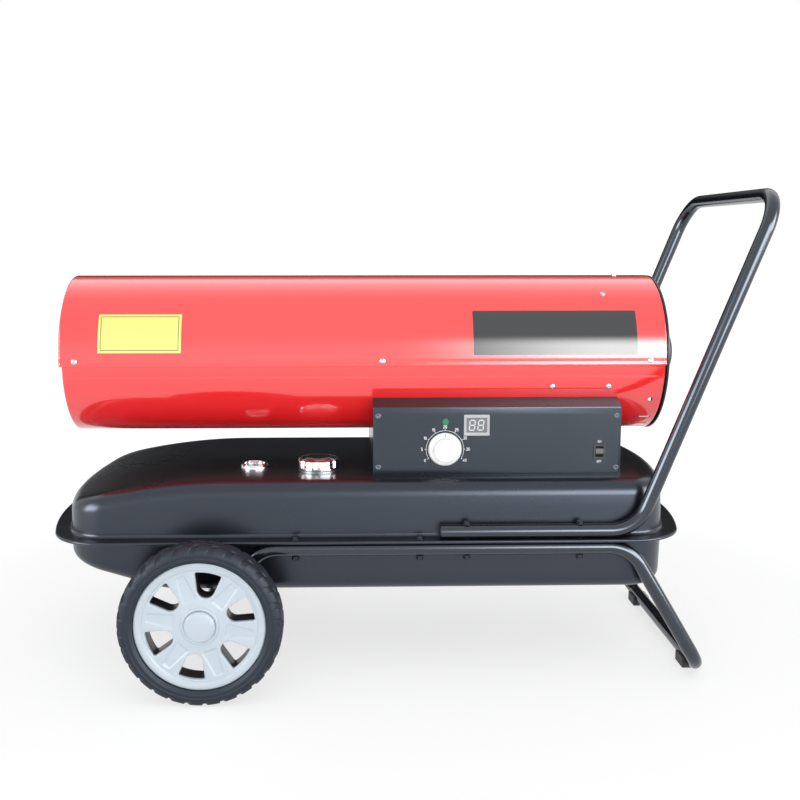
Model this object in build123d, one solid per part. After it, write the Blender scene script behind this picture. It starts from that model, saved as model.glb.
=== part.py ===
"""Portable forced air heater: barrel, control box, stamped fuel tank, wheeled tube frame.

Millimetres. X runs along the barrel (hot outlet at -X, air inlet at +X), -Y is the control side,
Z is up and the ground is z = 0. Every piece is written where it sits in the assembly.
"""

import math
import os

from build123d import *

os.makedirs("parts", exist_ok=True)

# ---- driving dimensions -------------------------------------------------------------------------
SHELL_R = 132.0  # outside of the barrel
SHELL_HL = 488.0  # half its length
AXIS_Z = 508.0  # height of the barrel axis
SHEET = 1.2  # barrel and box sheet
SEAT = 0.15  # gap between pressed pieces that lie on each other
RUN = 0.08  # radial gap of a bore that turns on its pin
SEAM = 3.3  # how far the upper sheet reaches below the middle, degrees
LOWER_R = SHELL_R - SHEET - SEAT

TANK_X, TANK_HL, TANK_HW = 5.0, 522.0, 220.0  # flange outline of the tank: middle, half sizes
TANK_END_R, TANK_CORNER = 572.0, 90.0
TANK_SHEET = 1.5
FLANGE_TOP, FLANGE_MID, FLANGE_LOW = 238.0, 236.0, 234.0
WALL_IN, DRAFT = 26.0, 1.7
ROOF_Z, ROOF_R, ROOF_BEND_X, ROOF_FILLET = 324.5, 990.0, -213.0, 24.0
FLOOR_Z, SLOPE_X, SLOPE_DEG, FLOOR_FILLET = 149.0, -315.0, 17.0, 21.0

TUBE_R, TUBE_WALL, TUBE_Y = 11.0, 1.6, 207.0
HANDLE_Z, FRAME_Z = FLANGE_TOP + TUBE_R + 0.05, FLANGE_LOW - TUBE_R - 0.2
BEND = 60.0
GRIP_Z = 770.0
GRIP_X = 455.6 + (GRIP_Z - 330.0) / 2.552
CORNER_X = 455.6 + (HANDLE_Z - 330.0) / 2.552
BAR_X, BAR_Z = 536.0, 17.0

AXLE_X, AXLE_Z, AXLE_R = -251.4, 125.0, 8.0
TYRE_R, TYRE_W, WHEEL_Y, RIM_R = 125.0, 50.0, 259.0, 99.6

BOX_X0, BOX_X1, BOX_HY, BOX_Z0, BOX_Z1 = 12.5, 412.0, 144.5, ROOF_Z + 0.1, 434.6
PANEL_X0, PANEL_X1, PANEL_Z0, PANEL_Z1, PANEL_Y = 12.5, 411.5, 325.5, 435.6, -146.0
PANEL_T = PANEL_Y + BOX_HY  # negative: the panel lies outside the box front
KNOB_X, KNOB_Z = 128.0, 367.0
RIGHT_END = GRIP_X + TUBE_R
X_MID = (TANK_X - TANK_HL + RIGHT_END) / 2  # middle of the whole in X, the written origin

FILLER_X, FILLER_Y, GAUGE_X, GAUGE_Y = -76.0, -97.0, -183.0, -82.0
PICKUP_X, PICKUP_Y = 230.0, 60.0

MOTOR_X1 = SHELL_HL - 78.0  # rear face of the motor can
MOTOR_LENGTH, MOTOR_R, SHAFT_R = 110.0, 55.0, 5.0
MOTOR_X0 = MOTOR_X1 - MOTOR_LENGTH
FIRE_R, FIRE_SHEET = 90.0, 1.5  # fire tube
FIRE_X0, FIRE_X1 = -SHELL_HL + 58.0, MOTOR_X0 - 169.3
PUMP_X, PUMP_LENGTH = MOTOR_X1 + 0.1, 21.9
COVER_X = PUMP_X + PUMP_LENGTH + 0.1
BOSS_Z = -46.0

AXIS = Pos(0, 0, AXIS_Z)
SEAM_SCREWS = (-SHELL_HL + 26.0, 28.0, SHELL_HL - 28.0)
MOUNT_SCREWS = ((MOTOR_X0 + 3.6, -19.4), (MOTOR_X1 - 15.0, -19.4))
TOP_SCREWS = ((MOTOR_X1 - 18.0, 51.7), (MOTOR_X1 + 20.0, 88.0))
NOZZLE_PIPE_X, PUMP_PIPE_X, PIPE_Y = FIRE_X1 + 19.3, BOX_X1 - 40.0, 16.0  # where the pipes enter the box
SHORT_BOLTS, LONG_BOLTS = (-110.0, 84.0), (157.5, 335.0)


# ---- helpers ------------------------------------------------------------------------------------
def xcyl(r, x0, x1, y=0.0, z=0.0):
    return Pos((x0 + x1) / 2, y, z) * Rot(0, 90, 0) * Cylinder(r, abs(x1 - x0))


def ycyl(r, y0, y1, x=0.0, z=0.0):
    return Pos(x, (y0 + y1) / 2, z) * Rot(90, 0, 0) * Cylinder(r, abs(y1 - y0))


def zcyl(r, z0, z1, x=0.0, y=0.0):
    return Pos(x, y, (z0 + z1) / 2) * Cylinder(r, abs(z1 - z0))


def block(x0, x1, y0, y1, z0, z1):
    middle = Pos((x0 + x1) / 2, (y0 + y1) / 2, (z0 + z1) / 2)
    return middle * Box(abs(x1 - x0), abs(y1 - y0), abs(z1 - z0))


def xring(r_out, r_in, x0, x1):
    return xcyl(r_out, x0, x1) - xcyl(r_in, x0 - 1, x1 + 1)


def yring(r_out, r_in, y0, y1, x, z):
    return ycyl(r_out, y0, y1, x, z) - ycyl(r_in, y0 - 1, y1 + 1, x, z)


def spun(points, width, radius, arc=360.0):
    """Sheet of revolution about X from its middle line of (x, r) points."""
    line = FilletPolyline(*points, radius=radius) if radius else Polyline(*points)
    return revolve(Plane.XZ * trace(line, width), Axis.X, arc)


def spoke(angle):
    """Turns +Z outwards, `angle` degrees above level on the control side of the barrel."""
    return Rot(90 - angle, 0, 0)


def pipe(points, bend, r, wall=0.0):
    """Round bar or tube along a path with rounded corners."""
    path = FilletPolyline(*points, radius=bend)
    start = Plane(origin=path @ 0, z_dir=path % 0)
    bar = sweep(start * Circle(r), path=path)
    if wall:
        bar -= sweep(start * Circle(r - wall), path=path)
    return bar


def save(name, piece):
    shape = Pos(-X_MID, 0, 0) * piece
    solids = shape.solids()
    shape = solids[0] if len(solids) == 1 else Compound(label=name, children=list(solids))
    shape.label = name
    export_step(shape, f"parts/{name}.step")
    print(name, len(solids), round(sum(s.volume for s in solids)))


# ---- barrel -------------------------------------------------------------------------------------
def barrel_holes():
    """Screw holes of the barrel, radial, right through both sheets."""
    holes = []
    shell_from = SHELL_R - 22
    for x in SEAM_SCREWS:
        for angle in (0.0, 180.0):
            holes.append(Pos(x, 0, 0) * spoke(angle) * zcyl(2.15, shell_from, SHELL_R + 2))
    for x, angle in MOUNT_SCREWS + TOP_SCREWS[:1]:
        for a in (angle, 180.0 - angle):
            holes.append(Pos(x, 0, 0) * spoke(a) * zcyl(2.15, shell_from, SHELL_R + 2))
    x, angle = TOP_SCREWS[1]
    holes.append(Pos(x, 0, 0) * spoke(angle) * zcyl(2.15, shell_from, SHELL_R + 2))
    return holes


def upper_shell():
    mid, end = SHELL_R - SHEET / 2, SHELL_HL - SHEET / 2
    outline = [(-end, mid - 5), (-end, mid), (end, mid), (end, mid - 5)]
    sheet = Rot(-90 - SEAM, 0, 0) * spun(outline, SHEET, 2.0, 180 + 2 * SEAM)
    return AXIS * (sheet - barrel_holes())


def lower_shell():
    mid = LOWER_R - SHEET / 2
    front, rear = -SHELL_HL + 5, SHELL_HL - 2
    outline = [(front, mid - 4), (front, mid), (rear, mid), (rear, mid - 4)]
    sheet = Rot(86, 0, 0) * spun(outline, SHEET, 2.0, 188)
    for angle in (-50.3, -61.1, -71.9, -82.7, -97.3, -108.1, -118.9, -129.7):
        slot = extrude(SlotOverall(31, 3.4), 30)
        sheet -= Pos(SHELL_HL - 25.5, 0, 0) * spoke(angle) * Pos(0, 0, SHELL_R - 17) * slot
    for angle in (-30.6, -149.4):
        sheet -= Pos(SHELL_HL - 20.4, 0, 0) * spoke(angle) * zcyl(4, SHELL_R - 22, SHELL_R + 8)
    for x, y in ((NOZZLE_PIPE_X, PIPE_Y), (PUMP_PIPE_X, PIPE_Y), (NOZZLE_PIPE_X, -PIPE_Y)):
        sheet -= zcyl(7.5, -SHELL_R - 8, -SHELL_R + 22, x, y)  # pipes pass into the box
    return AXIS * (sheet - barrel_holes())


def shell_screws():
    """Pan heads with short shanks, all of one size."""
    screw = zcyl(4.5, 0, 1.3) + Pos(0, 0, 1.3) * Cone(4.5, 2.6, 1.2, align=(Align.CENTER, Align.CENTER, Align.MIN))
    screw += zcyl(2.0, -7, 0.1)
    screw -= Pos(0, 0, 2.3) * Box(4.4, 0.9, 1.4) + Pos(0, 0, 2.3) * Box(0.9, 4.4, 1.4)
    out = []
    for x in SEAM_SCREWS:
        out += [Pos(x, 0, 0) * spoke(a) * Pos(0, 0, SHELL_R + 0.02) * screw for a in (0, 180)]
    for x, angle in MOUNT_SCREWS:
        out += [Pos(x, 0, 0) * spoke(a) * Pos(0, 0, LOWER_R + 0.02) * screw for a in (angle, 180 - angle)]
    x, angle = TOP_SCREWS[0]
    out += [Pos(x, 0, 0) * spoke(a) * Pos(0, 0, SHELL_R + 0.02) * screw for a in (angle, 180 - angle)]
    x, angle = TOP_SCREWS[1]
    out.append(Pos(x, 0, 0) * spoke(angle) * Pos(0, 0, SHELL_R + 0.02) * screw)
    return Compound(children=[AXIS * s for s in out])


def rear_guard():
    """Black inlet guard: rim, concentric rings and spokes cut from one shallow cone."""
    cone = spun([(SHELL_HL + 3.4, SHELL_R - 1.5), (SHELL_HL + 12.5, 40)], 2.4, 0)
    bars = Circle(SHELL_R - 1) - Circle(SHELL_R - 9)
    for k in range(1, 5):
        r = SHELL_R - 8 - 16 * k
        bars += Circle(r) - Circle(r - 3)
    bars += Circle(48) - Circle(42)
    length = SHELL_R - 50
    for k in range(8):
        bars += Rot(0, 0, 22.5 + 45 * k) * Pos(45 + length / 2, 0) * Rectangle(length, 5)
    grid = cone & (Pos(SHELL_HL - 8, 0, 0) * Rot(0, 90, 0) * extrude(bars, 40))
    rim = xring(SHELL_R - 0.5, SHELL_R - 9, SHELL_HL + 0.1, SHELL_HL + 3.6)
    rim += xring(SHELL_R - 6.2, SHELL_R - 8, SHELL_HL - 9, SHELL_HL + 0.2)
    return AXIS * (grid + rim)


def combustion_chamber():
    """Steel fire tube on eight welded stays, with a ring of air holes near the burner."""
    can = xring(FIRE_R, FIRE_R - FIRE_SHEET, FIRE_X0, FIRE_X1)
    for k in range(12):
        can -= Pos(FIRE_X1 - 34.7, 0, 0) * spoke(30 * k + 15) * zcyl(4.5, FIRE_R - 10, FIRE_R + 5)
    for angle in (45, 135, 225, 315):
        top = (SHELL_R if angle < 180 else LOWER_R) - SHEET - 0.25
        for x in (FIRE_X0 + 30, FIRE_X1 - 60.7):
            stay = block(x - 10, x + 10, -1, 1, FIRE_R - 0.8, top - 0.2)
            stay += block(x - 10, x + 10, -7, 7, FIRE_R - 0.6, FIRE_R + 1.4)
            can += spoke(angle) * (stay - xcyl(FIRE_R - 0.8, x - 20, x + 20))
            foot = xring(top, top - 2, x - 10, x + 10) & (spoke(angle) * block(x - 11, x + 11, -7, 7, 100, 140))
            can += foot
    return AXIS * can


def flame_deflector():
    """Mouth ring of the fire tube, with a dished disc in its middle on three flat arms."""
    face = FIRE_X0 - SEAT
    wall = FIRE_R - FIRE_SHEET - SEAT
    ring = spun([(face + 14, wall - 0.75), (face - 0.75, wall - 0.75), (face - 0.75, wall - 18)], 1.5, 4.0)
    dish = spun([(face + 4, 0.8), (face + 8, 30), (face + 19, 58)], 1.5, 12.0)
    dish += xcyl(5, face + 3.3, face + 5)
    for angle in (90, 210, 330):
        arm = block(face + 16.2, face + 18.2, -9, 9, 54, wall - 3) + block(face + 5, face + 18.2, -9, 9, wall - 4, wall + 1)
        dish += spoke(angle) * arm
    return AXIS * (ring + (dish & xcyl(wall - 0.2, face - 20, face + 60)))


def burner_head():
    """End plate of the fire tube with a swirl cup: cup wall and a slotted front."""
    x1 = FIRE_X1 + SEAT
    cup = xring(FIRE_R - 1, 56.6, x1, x1 + 2) + xring(58.2, 56.6, x1 - 22.85, x1 + 2)
    front = xcyl(58.2, x1 - 22.85, x1 - 21.25) - xcyl(18, x1 - 31, x1 - 11)
    for k in range(8):
        front -= Rot(45 * k, 0, 0) * Pos(x1 - 22.05, 0, 44) * Rot(14, 0, 0) * Box(6, 5.0, 16)
    front -= xcyl(3.7, x1 - 31, x1 - 11, 9, 27) + xcyl(3.7, x1 - 31, x1 - 11, -9, 27)
    front -= xcyl(6.2, x1 - 31, x1 - 11, EYE_Y, EYE_Z)
    return AXIS * (cup + front)


BURNER = FIRE_X1 + SEAT - 130.85  # what hangs on the burner plate moves with it


def spray_nozzle():
    """Siphon nozzle on its holder, with three legs screwed behind the burner head."""
    body = xcyl(11, 120, 152) + xcyl(8, 106, 120)
    body += Pos(104, 0, 0) * Rot(0, 90, 0) * extrude(RegularPolygon(9.0, 6), 10)
    body -= xcyl(1.0, 100, 107.5)
    for k in range(3):
        body += Rot(120 * k + 60, 0, 0) * block(133.0, 135.0, -5, 5, 8, 63)
    body += xcyl(6, 152, 160, 0, -3)
    body += zcyl(5, -21, -8, 143, 0)
    return AXIS * Pos(BURNER, 0, 0) * body


def igniter_electrodes():
    """Two ceramic rods with bent wire tips, joined by their clamp."""
    pair = []
    for y in (-9, 9):
        pair.append(xcyl(3.5, 92, 150, y, 27))
        tip = [(95, y, 27), (84, y, 27), (84, y * 0.25, 14)]
        pair.append(pipe(tip, 3.0, 1.0))
    clamp = block(126, 130, -15, 15, 21, 33)
    out = pair[0] + pair[1] + pair[2] + pair[3] + clamp
    return AXIS * Pos(BURNER, 0, 0) * (out - block(129, 131, -1, 1, 20, 34))


EYE_Y, EYE_Z = -23.4, -13.5


def flame_sensor():
    """Photocell tube through the front of the burner head."""
    eye = xcyl(6, 106, 150, EYE_Y, EYE_Z) + xcyl(8, 109.7, 113, EYE_Y, EYE_Z)
    return AXIS * Pos(BURNER, 0, 0) * (eye - xcyl(4, 100, 116, EYE_Y, EYE_Z))


def overheat_switch():
    """Snap-disc cut-out under the upper shell, above the fire tube."""
    top = SHELL_R - SHEET - 0.15
    x = FIRE_X1 + 29.3
    disc = zcyl(8, top - 18.7, top - 8.7, x, 0) + block(x - 12, x + 12, -7, 7, top - 9.7, top + 4.3)
    disc += block(x - 3, x - 2, -5, -3, top - 26.7, top - 17.7) + block(x - 3, x - 2, 3, 5, top - 26.7, top - 17.7)
    return AXIS * (spoke(58) * disc & xcyl(top, x - 20, x + 20))


def motor_mount():
    """Bent cradle plate across the lower half of the barrel."""
    out_r, sheet, seat_z = LOWER_R - SHEET - 0.2, 2.0, -MOTOR_R - 2.3
    x0, length = MOTOR_X0 - 9, MOTOR_LENGTH + 7
    ring = Circle(out_r) - Circle(out_r - sheet)
    upper = -29.0
    band = Pos(0, (upper + seat_z - sheet) / 2) * Rectangle(2 * out_r + 4, upper - seat_z + sheet)
    half = math.sqrt((out_r - sheet) ** 2 - seat_z**2) - 0.4
    section = (ring & band) + Pos(0, seat_z - sheet / 2) * Rectangle(2 * half, sheet)
    cradle = Pos(x0, 0, 0) * (Plane.YZ * extrude(section, length))
    for y in (-78, 78):
        cradle -= block(x0 + 25, x0 + 93, y - 12, y + 12, seat_z - 5, seat_z + 3)
    for x, angle in MOUNT_SCREWS:
        for a in (angle, 180 - angle):
            cradle -= Pos(x, 0, 0) * spoke(a) * zcyl(2.15, out_r - 12, out_r + 12)
    return AXIS * cradle


def motor_body():
    x0, x1 = MOTOR_X0, MOTOR_X1
    can = xcyl(MOTOR_R, x0, x1) - xcyl(MOTOR_R - 4, x0 + 4, x1 - 4)
    can += xring(MOTOR_R - 3, 41, x0 + 25, x0 + 82)  # stator
    can += xring(14, SHAFT_R, x0 - 6, x0 + 12) + xring(14, SHAFT_R, x1 - 12, x1)
    for x in (x0 + 22, x1 - 22):
        can += block(x - 9, x + 9, -28, 28, -MOTOR_R - 2.2, -44) - xcyl(MOTOR_R - 1, x - 20, x + 20)
    can += block(x0 + 35, x0 + 75, -16, 16, 50, 66) - xcyl(MOTOR_R - 1, x0 + 30, x0 + 80)  # start capacitor box
    return AXIS * (can - xcyl(SHAFT_R + 0.05, x0 - 20, x1 + 20))


def motor_shaft():
    x0 = MOTOR_X0 - 42
    shaft = xcyl(SHAFT_R, x0, MOTOR_X1 + 21) + xcyl(39.5, MOTOR_X0 + 28, MOTOR_X0 + 79)
    return AXIS * (shaft - block(x0 - 1, x0 + 27, -6, 6, 4.2, 6))


def fan():
    """Five twisted blades lofted from the hub to the tip."""
    x0, x1 = MOTOR_X0 - 38.0, MOTOR_X0 - 14.0
    middle = (x0 + x1) / 2
    blade_faces = []
    for r, chord, pitch in ((17, 36, 46), (60, 56, 33), (SHELL_R - 10, 74, 21)):
        plane = Plane(origin=(middle, 0, r), x_dir=(0, 1, 0), z_dir=(0, 0, 1))
        blade_faces.append(plane * Rot(0, 0, pitch) * Rectangle(chord, 1.8))
    blade = loft(blade_faces) & xcyl(SHELL_R - 14, x0 - 2, x1 + 2.2)
    wheel = xcyl(22, x0, x1) - xcyl(15, x0 - 1, x0 + 6)
    for k in range(5):
        wheel += Rot(72 * k, 0, 0) * blade
    return AXIS * (wheel - xcyl(SHAFT_R + 0.05, x0 - 20, x1 + 20))


def pump_body():
    """Eccentric ring of the carbon vane pump, bolted behind the motor."""
    x0, x1 = PUMP_X, PUMP_X + PUMP_LENGTH
    ring = xcyl(38, x0, x1) - xcyl(29.5, x0 + 4, x1 + 8, 0, 1.6)
    ring += xcyl(9, x0, x1, 0, BOSS_Z) + block(x0, x1, -9, 9, BOSS_Z, -33)
    return AXIS * (ring - xcyl(SHAFT_R + 0.05, x0 - 10, x1 + 10))


def pump_rotor():
    x0, x1 = PUMP_X + 4.4, PUMP_X + PUMP_LENGTH - 0.4
    rotor = xcyl(27.4, x0, x1) - xcyl(SHAFT_R + 0.05, x0 - 10, x1 + 10)
    for k in range(4):
        rotor -= Rot(90 * k, 0, 0) * block(x0 - 10, x1 + 10, -1.6, 1.6, 16, 30)
    return AXIS * rotor


def pump_end_cover():
    """Cast cover with the pressure screw boss below and a hose nipple above."""
    cover = xcyl(38, COVER_X, COVER_X + 8) + xcyl(9, COVER_X, COVER_X + 16, 0, BOSS_Z)
    cover += block(COVER_X, COVER_X + 8, -9, 9, BOSS_Z, -30)
    cover -= xcyl(2.9, COVER_X + 4, COVER_X + 20, 0, BOSS_Z)
    cover -= xcyl(4.2, COVER_X + 11, COVER_X + 20, 0, BOSS_Z)
    cover += zcyl(4, 36, 44, COVER_X + 4, 0) + xcyl(4, COVER_X + 8, COVER_X + 13, 0, 0)
    return AXIS * cover


def pressure_screw():
    screw = xcyl(2.84, COVER_X + 6, COVER_X + 11.4, 0, BOSS_Z)
    screw += xcyl(4.12, COVER_X + 11.4, COVER_X + 18, 0, BOSS_Z)
    return AXIS * (screw - block(COVER_X + 16.5, COVER_X + 20, -5, 5, BOSS_Z - 0.6, BOSS_Z + 0.6))


def filter_cover():
    """Cup over the intake filter; its round end shows through the guard."""
    x0, x1 = COVER_X + 8.1, SHELL_HL + 40.0
    cup = spun([(x0, 34.1), (x1 - 0.8, 34.1), (x1 - 0.8, 0.9)], 1.6, 7.0) + xcyl(3, x1 - 1.6, x1)
    for k in range(6):
        cup -= Rot(60 * k, 0, 0) * block(x0 + 8, x0 + 26, -4, 4, 25, 40)
    return AXIS * cup


def air_filter():
    return AXIS * xring(33.0, 10, COVER_X + 14, SHELL_HL + 28)


# ---- pipes and fuel --------------------------------------------------------------------------
def air_pipe():
    """Bent copper pipe from the pump, down through the box, up again to the nozzle."""
    x, side, low = COVER_X + 4, SHELL_R - 34, -SHELL_R - 18
    path = [(x, 0, 44.2), (x, 0, 76), (x, side - 26, 76), (x, side, 30), (x, side, -70), (PUMP_PIPE_X, PIPE_Y, -105)]
    path += [(PUMP_PIPE_X, PIPE_Y, low), (NOZZLE_PIPE_X, PIPE_Y, low), (NOZZLE_PIPE_X, PIPE_Y, -60)]
    path += [(BURNER + 143, 0, -30), (BURNER + 143, 0, -21.2)]
    return AXIS * pipe(path, [12, 12, 12, 12, 12, 12, 12, 12, 4], 3.5, 1.0)


def fuel_pipe():
    """Bent copper pipe from the tank's suction plate to the back of the nozzle."""
    top, low = ROOF_Z + 18.7 - AXIS_Z, -SHELL_R - 26
    path = [(PICKUP_X, PICKUP_Y, top), (PICKUP_X, PICKUP_Y, low), (NOZZLE_PIPE_X, -PIPE_Y, low)]
    path += [(NOZZLE_PIPE_X, -PIPE_Y, -40), (BURNER + 176, 0, -40), (BURNER + 176, 0, -3), (BURNER + 160.2, 0, -3)]
    return AXIS * pipe(path, [6, 10, 8, 8, 8], 3.0, 1.0)


def fuel_pickup():
    """Suction pipe with its plate on the tank roof and a strainer near the floor."""
    top = ROOF_Z + 0.1
    here = Pos(PICKUP_X, PICKUP_Y, 0)
    out = zcyl(14, top, top + 4) + zcyl(4.5, top + 4, top + 18.5)
    out += zcyl(4, FLOOR_Z + 30, top + 4) + zcyl(9, FLOOR_Z + 8, FLOOR_Z + 40)
    return here * (out - zcyl(2.5, FLOOR_Z + 12, top + 30))


# ---- tank ------------------------------------------------------------------------------------
def plan(inset):
    """Outline of the tank seen from above, drawn in by `inset`."""
    outline = Pos(TANK_X, 0) * Rectangle(2 * TANK_HL + 40, 2 * (TANK_HW - inset))
    for side in (-1, 1):
        outline &= Pos(TANK_X + side * (TANK_HL - TANK_END_R), 0) * Circle(TANK_END_R - inset)
    return fillet(outline.vertices(), TANK_CORNER - inset)


def walls(t, height):
    """Drafted wall block from the flange, up (+) or down (-)."""
    far = WALL_IN + t + abs(height) * math.tan(math.radians(DRAFT))
    near = Pos(0, 0, FLANGE_MID) * plan(WALL_IN + t)
    return loft([near, Pos(0, 0, FLANGE_MID + height) * plan(far)], ruled=True)


def side_cut(lines):
    """Solid of a side view outline, through the whole width."""
    return extrude(Plane.XZ * make_face(lines), 300, both=True)


def upper_bulge(t):
    roof, radius = ROOF_Z - t, ROOF_R - t
    drop = lambda x: roof - radius + math.sqrt(radius**2 - (x - ROOF_BEND_X) ** 2)
    line = Curve() + Line((-600, 200), (600, 200)) + Line((600, 200), (600, roof))
    line += Line((600, roof), (ROOF_BEND_X, roof))
    line += ThreePointArc((ROOF_BEND_X, roof), (-400, drop(-400)), (-600, drop(-600)))
    line += Line((-600, drop(-600)), (-600, 200))
    body = walls(t, ROOF_Z - FLANGE_MID + 8) & side_cut(line)
    top = [f for f in body.faces() if f.normal_at().Z > 0.7]
    seam = [e for f in top for e in f.edges()]
    rim = [e for e in seam if sum(1 for o in seam if (o.center() - e.center()).length < 0.01) == 1]
    return fillet(rim, ROOF_FILLET - t)


def lower_bulge(t):
    floor = FLOOR_Z + t
    rise = math.tan(math.radians(SLOPE_DEG))
    line = Polyline(
        (-600, 300), (600, 300), (600, floor), (SLOPE_X, floor), (-600, floor + rise * (600 + SLOPE_X)), close=True
    )
    body = walls(t, FLOOR_Z - FLANGE_MID - 8) & side_cut(line)
    bottom = [f for f in body.faces() if f.normal_at().Z < -0.7]
    seam = [e for f in bottom for e in f.edges()]
    rim = [e for e in seam if sum(1 for o in seam if (o.center() - e.center()).length < 0.01) == 1]
    return fillet(rim, FLOOR_FILLET - t)


def level(inset, z0, z1):
    return Pos(0, 0, z0) * extrude(plan(inset), z1 - z0)


def bolt_holes(z0, z1):
    holes = [zcyl(3.2, z0, z1, x, y) for x in SHORT_BOLTS + LONG_BOLTS for y in (-TUBE_Y, TUBE_Y)]
    return holes


def tank_upper():
    shell = upper_bulge(0) + level(0, FLANGE_MID, FLANGE_TOP)
    inner = plan(WALL_IN / 2).face()
    at_top = [e for e in shell.edges() if abs(e.center().Z - FLANGE_TOP) < 0.05]
    root = [e for e in at_top if inner.is_inside((e.center().X, e.center().Y, 0))]
    shell = fillet(root, 5.0)
    hem = level(0, 232.8, FLANGE_TOP) - level(1.6, 230, 240)
    hem += level(0, 232.8, 233.9) - level(6, 230, 240)
    shell = shell + hem
    shell -= upper_bulge(TANK_SHEET)
    shell -= level(WALL_IN + TANK_SHEET, FLANGE_MID - 6, FLANGE_MID + 0.5)
    shell -= zcyl(25.5, 300, 340, FILLER_X, FILLER_Y) + zcyl(17.5, 300, 340, GAUGE_X, GAUGE_Y)
    shell -= zcyl(9.5, 300, 340, PICKUP_X, PICKUP_Y)
    return shell - bolt_holes(200, 245)


def tank_lower():
    shell = lower_bulge(0) + level(1.9, FLANGE_LOW, FLANGE_MID)
    shell -= lower_bulge(TANK_SHEET)
    shell -= level(WALL_IN + TANK_SHEET, FLANGE_MID - 0.5, FLANGE_MID + 4)
    shell -= zcyl(8.3, 140, 160, 380, 0)
    return shell - bolt_holes(200, 245)


def filler_neck():
    neck = zcyl(28, ROOF_Z + 0.1, 334, FILLER_X, FILLER_Y) + zcyl(25.3, 306, 326, FILLER_X, FILLER_Y)
    neck += zcyl(33, ROOF_Z + 0.1, ROOF_Z + 1.6, FILLER_X, FILLER_Y)
    return neck - zcyl(23.5, 300, 340, FILLER_X, FILLER_Y)


def cap_gasket():
    ring = zcyl(27.8, 334.1, 336.4, FILLER_X, FILLER_Y) - zcyl(22, 330, 340, FILLER_X, FILLER_Y)
    return ring


def fuel_cap():
    """Domed cap with broad flutes, over the neck."""
    flutes = Circle(34)
    for k in range(8):
        flutes -= Rot(0, 0, 45 * k) * Pos(41.5, 0) * Circle(10)
    top = 343.4
    cap = zcyl(34, 327, top, FILLER_X, FILLER_Y) & (Pos(FILLER_X, FILLER_Y, 328.5) * extrude(flutes, 20))
    cap = chamfer(cap.edges().filter_by_position(Axis.Z, top - 0.1, top + 0.1), 2.0)
    cap += zcyl(34, 327, 330.5, FILLER_X, FILLER_Y) + zcyl(21, top - 0.2, top + 0.8, FILLER_X, FILLER_Y)
    cap -= zcyl(28.35, 320, 336.6, FILLER_X, FILLER_Y)
    return cap


GAUGE_TWIST = 270.0 / 130.0  # degrees of strip twist per millimetre of float travel
STRIP_Z0, STRIP_Z1 = 157.5, 326.2
FLOAT_Z = 172.0


def gauge_body():
    """Bezel on the tank roof, cup, two guide rods and the foot that joins them."""
    top = ROOF_Z + 0.1
    here = Pos(GAUGE_X, GAUGE_Y, 0)
    body = zcyl(22.8, top, top + 3) + zcyl(17.2, 312, top + 1)
    body += Pos(0, 0, top + 3) * Cone(22.8, 20.4, 4.6, align=(Align.CENTER, Align.CENTER, Align.MIN))
    body -= zcyl(17.6, top + 1.6, top + 20)
    for y in (-12, 12):
        body += zcyl(1.5, 153.5, 313, 0, y)
    body += block(-4, 4, -14, 14, 152.5, 155.5) - zcyl(0.2, 150, 151)
    body -= zcyl(3.1, 300, 340)
    body -= zcyl(14.5, 311, 323.5) - zcyl(5, 300, 324) - block(-4, 4, -16, 16, 311, 324)
    return here * body


def gauge_strip(width, thick, z0, z1):
    turn = (z1 - z0) * GAUGE_TWIST
    face = Face.make_rect(width, thick)
    start = (z0 - FLOAT_Z) * GAUGE_TWIST
    strip = Solid.extrude_linear_with_rotation(face, (0, 0, 0), (0, 0, z1 - z0), turn)
    return Pos(0, 0, z0) * Rot(0, 0, start) * strip


def gauge_pointer():
    """Twisted strip with the needle on its top end."""
    needle = zcyl(2.6, 326.2, 329) + block(-2, 14.5, -1.2, 1.2, 327.2, 328.4)
    needle += zcyl(2.4, STRIP_Z1 - 1.2, 327)
    pointer = gauge_strip(5.0, 0.8, STRIP_Z0, STRIP_Z1) + needle
    return Pos(GAUGE_X, GAUGE_Y, 0) * pointer


def gauge_float():
    """Cork ring with a slotted plate that turns the strip as the float rises."""
    ring = zcyl(15.8, FLOAT_Z - 9, FLOAT_Z + 9) - zcyl(5.5, FLOAT_Z - 12, FLOAT_Z + 12)
    ring += zcyl(6, FLOAT_Z - 0.5, FLOAT_Z + 0.5)
    for y in (-12, 12):
        ring -= zcyl(1.6, FLOAT_Z - 12, FLOAT_Z + 12, 0, y)
    ring -= Pos(0, 0, FLOAT_Z) * Box(5.5, 1.35, 4)
    return Pos(GAUGE_X, GAUGE_Y, 0) * ring


def gauge_lens():
    """Clear watch glass inside the bezel."""
    dome = Sphere(42.0) & block(-30, 30, -30, 30, 38.2, 43)
    glass = Pos(0, 0, 331.2 - 38.2 - 0.0) * (dome & zcyl(17.4, 30, 50))
    glass -= Pos(0, 0, 331.2 - 38.2 - 1.2) * Sphere(42.0) & zcyl(14, 300, 340)
    rim = zcyl(17.4, ROOF_Z + 1.75, 331.3) - zcyl(15.6, 320, 340)
    return Pos(GAUGE_X, GAUGE_Y, 0) * (glass + rim)


def drain_plug():
    """Hexagon plug with its boss ring in the floor of the tank."""
    plug = zcyl(12, FLOOR_Z - 3.1, FLOOR_Z - 0.1, 380, 0) + zcyl(8, FLOOR_Z - 1, FLOOR_Z + 8, 380, 0)
    return plug + Pos(380, 0, FLOOR_Z - 10) * extrude(RegularPolygon(9.0, 6), 8)


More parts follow.
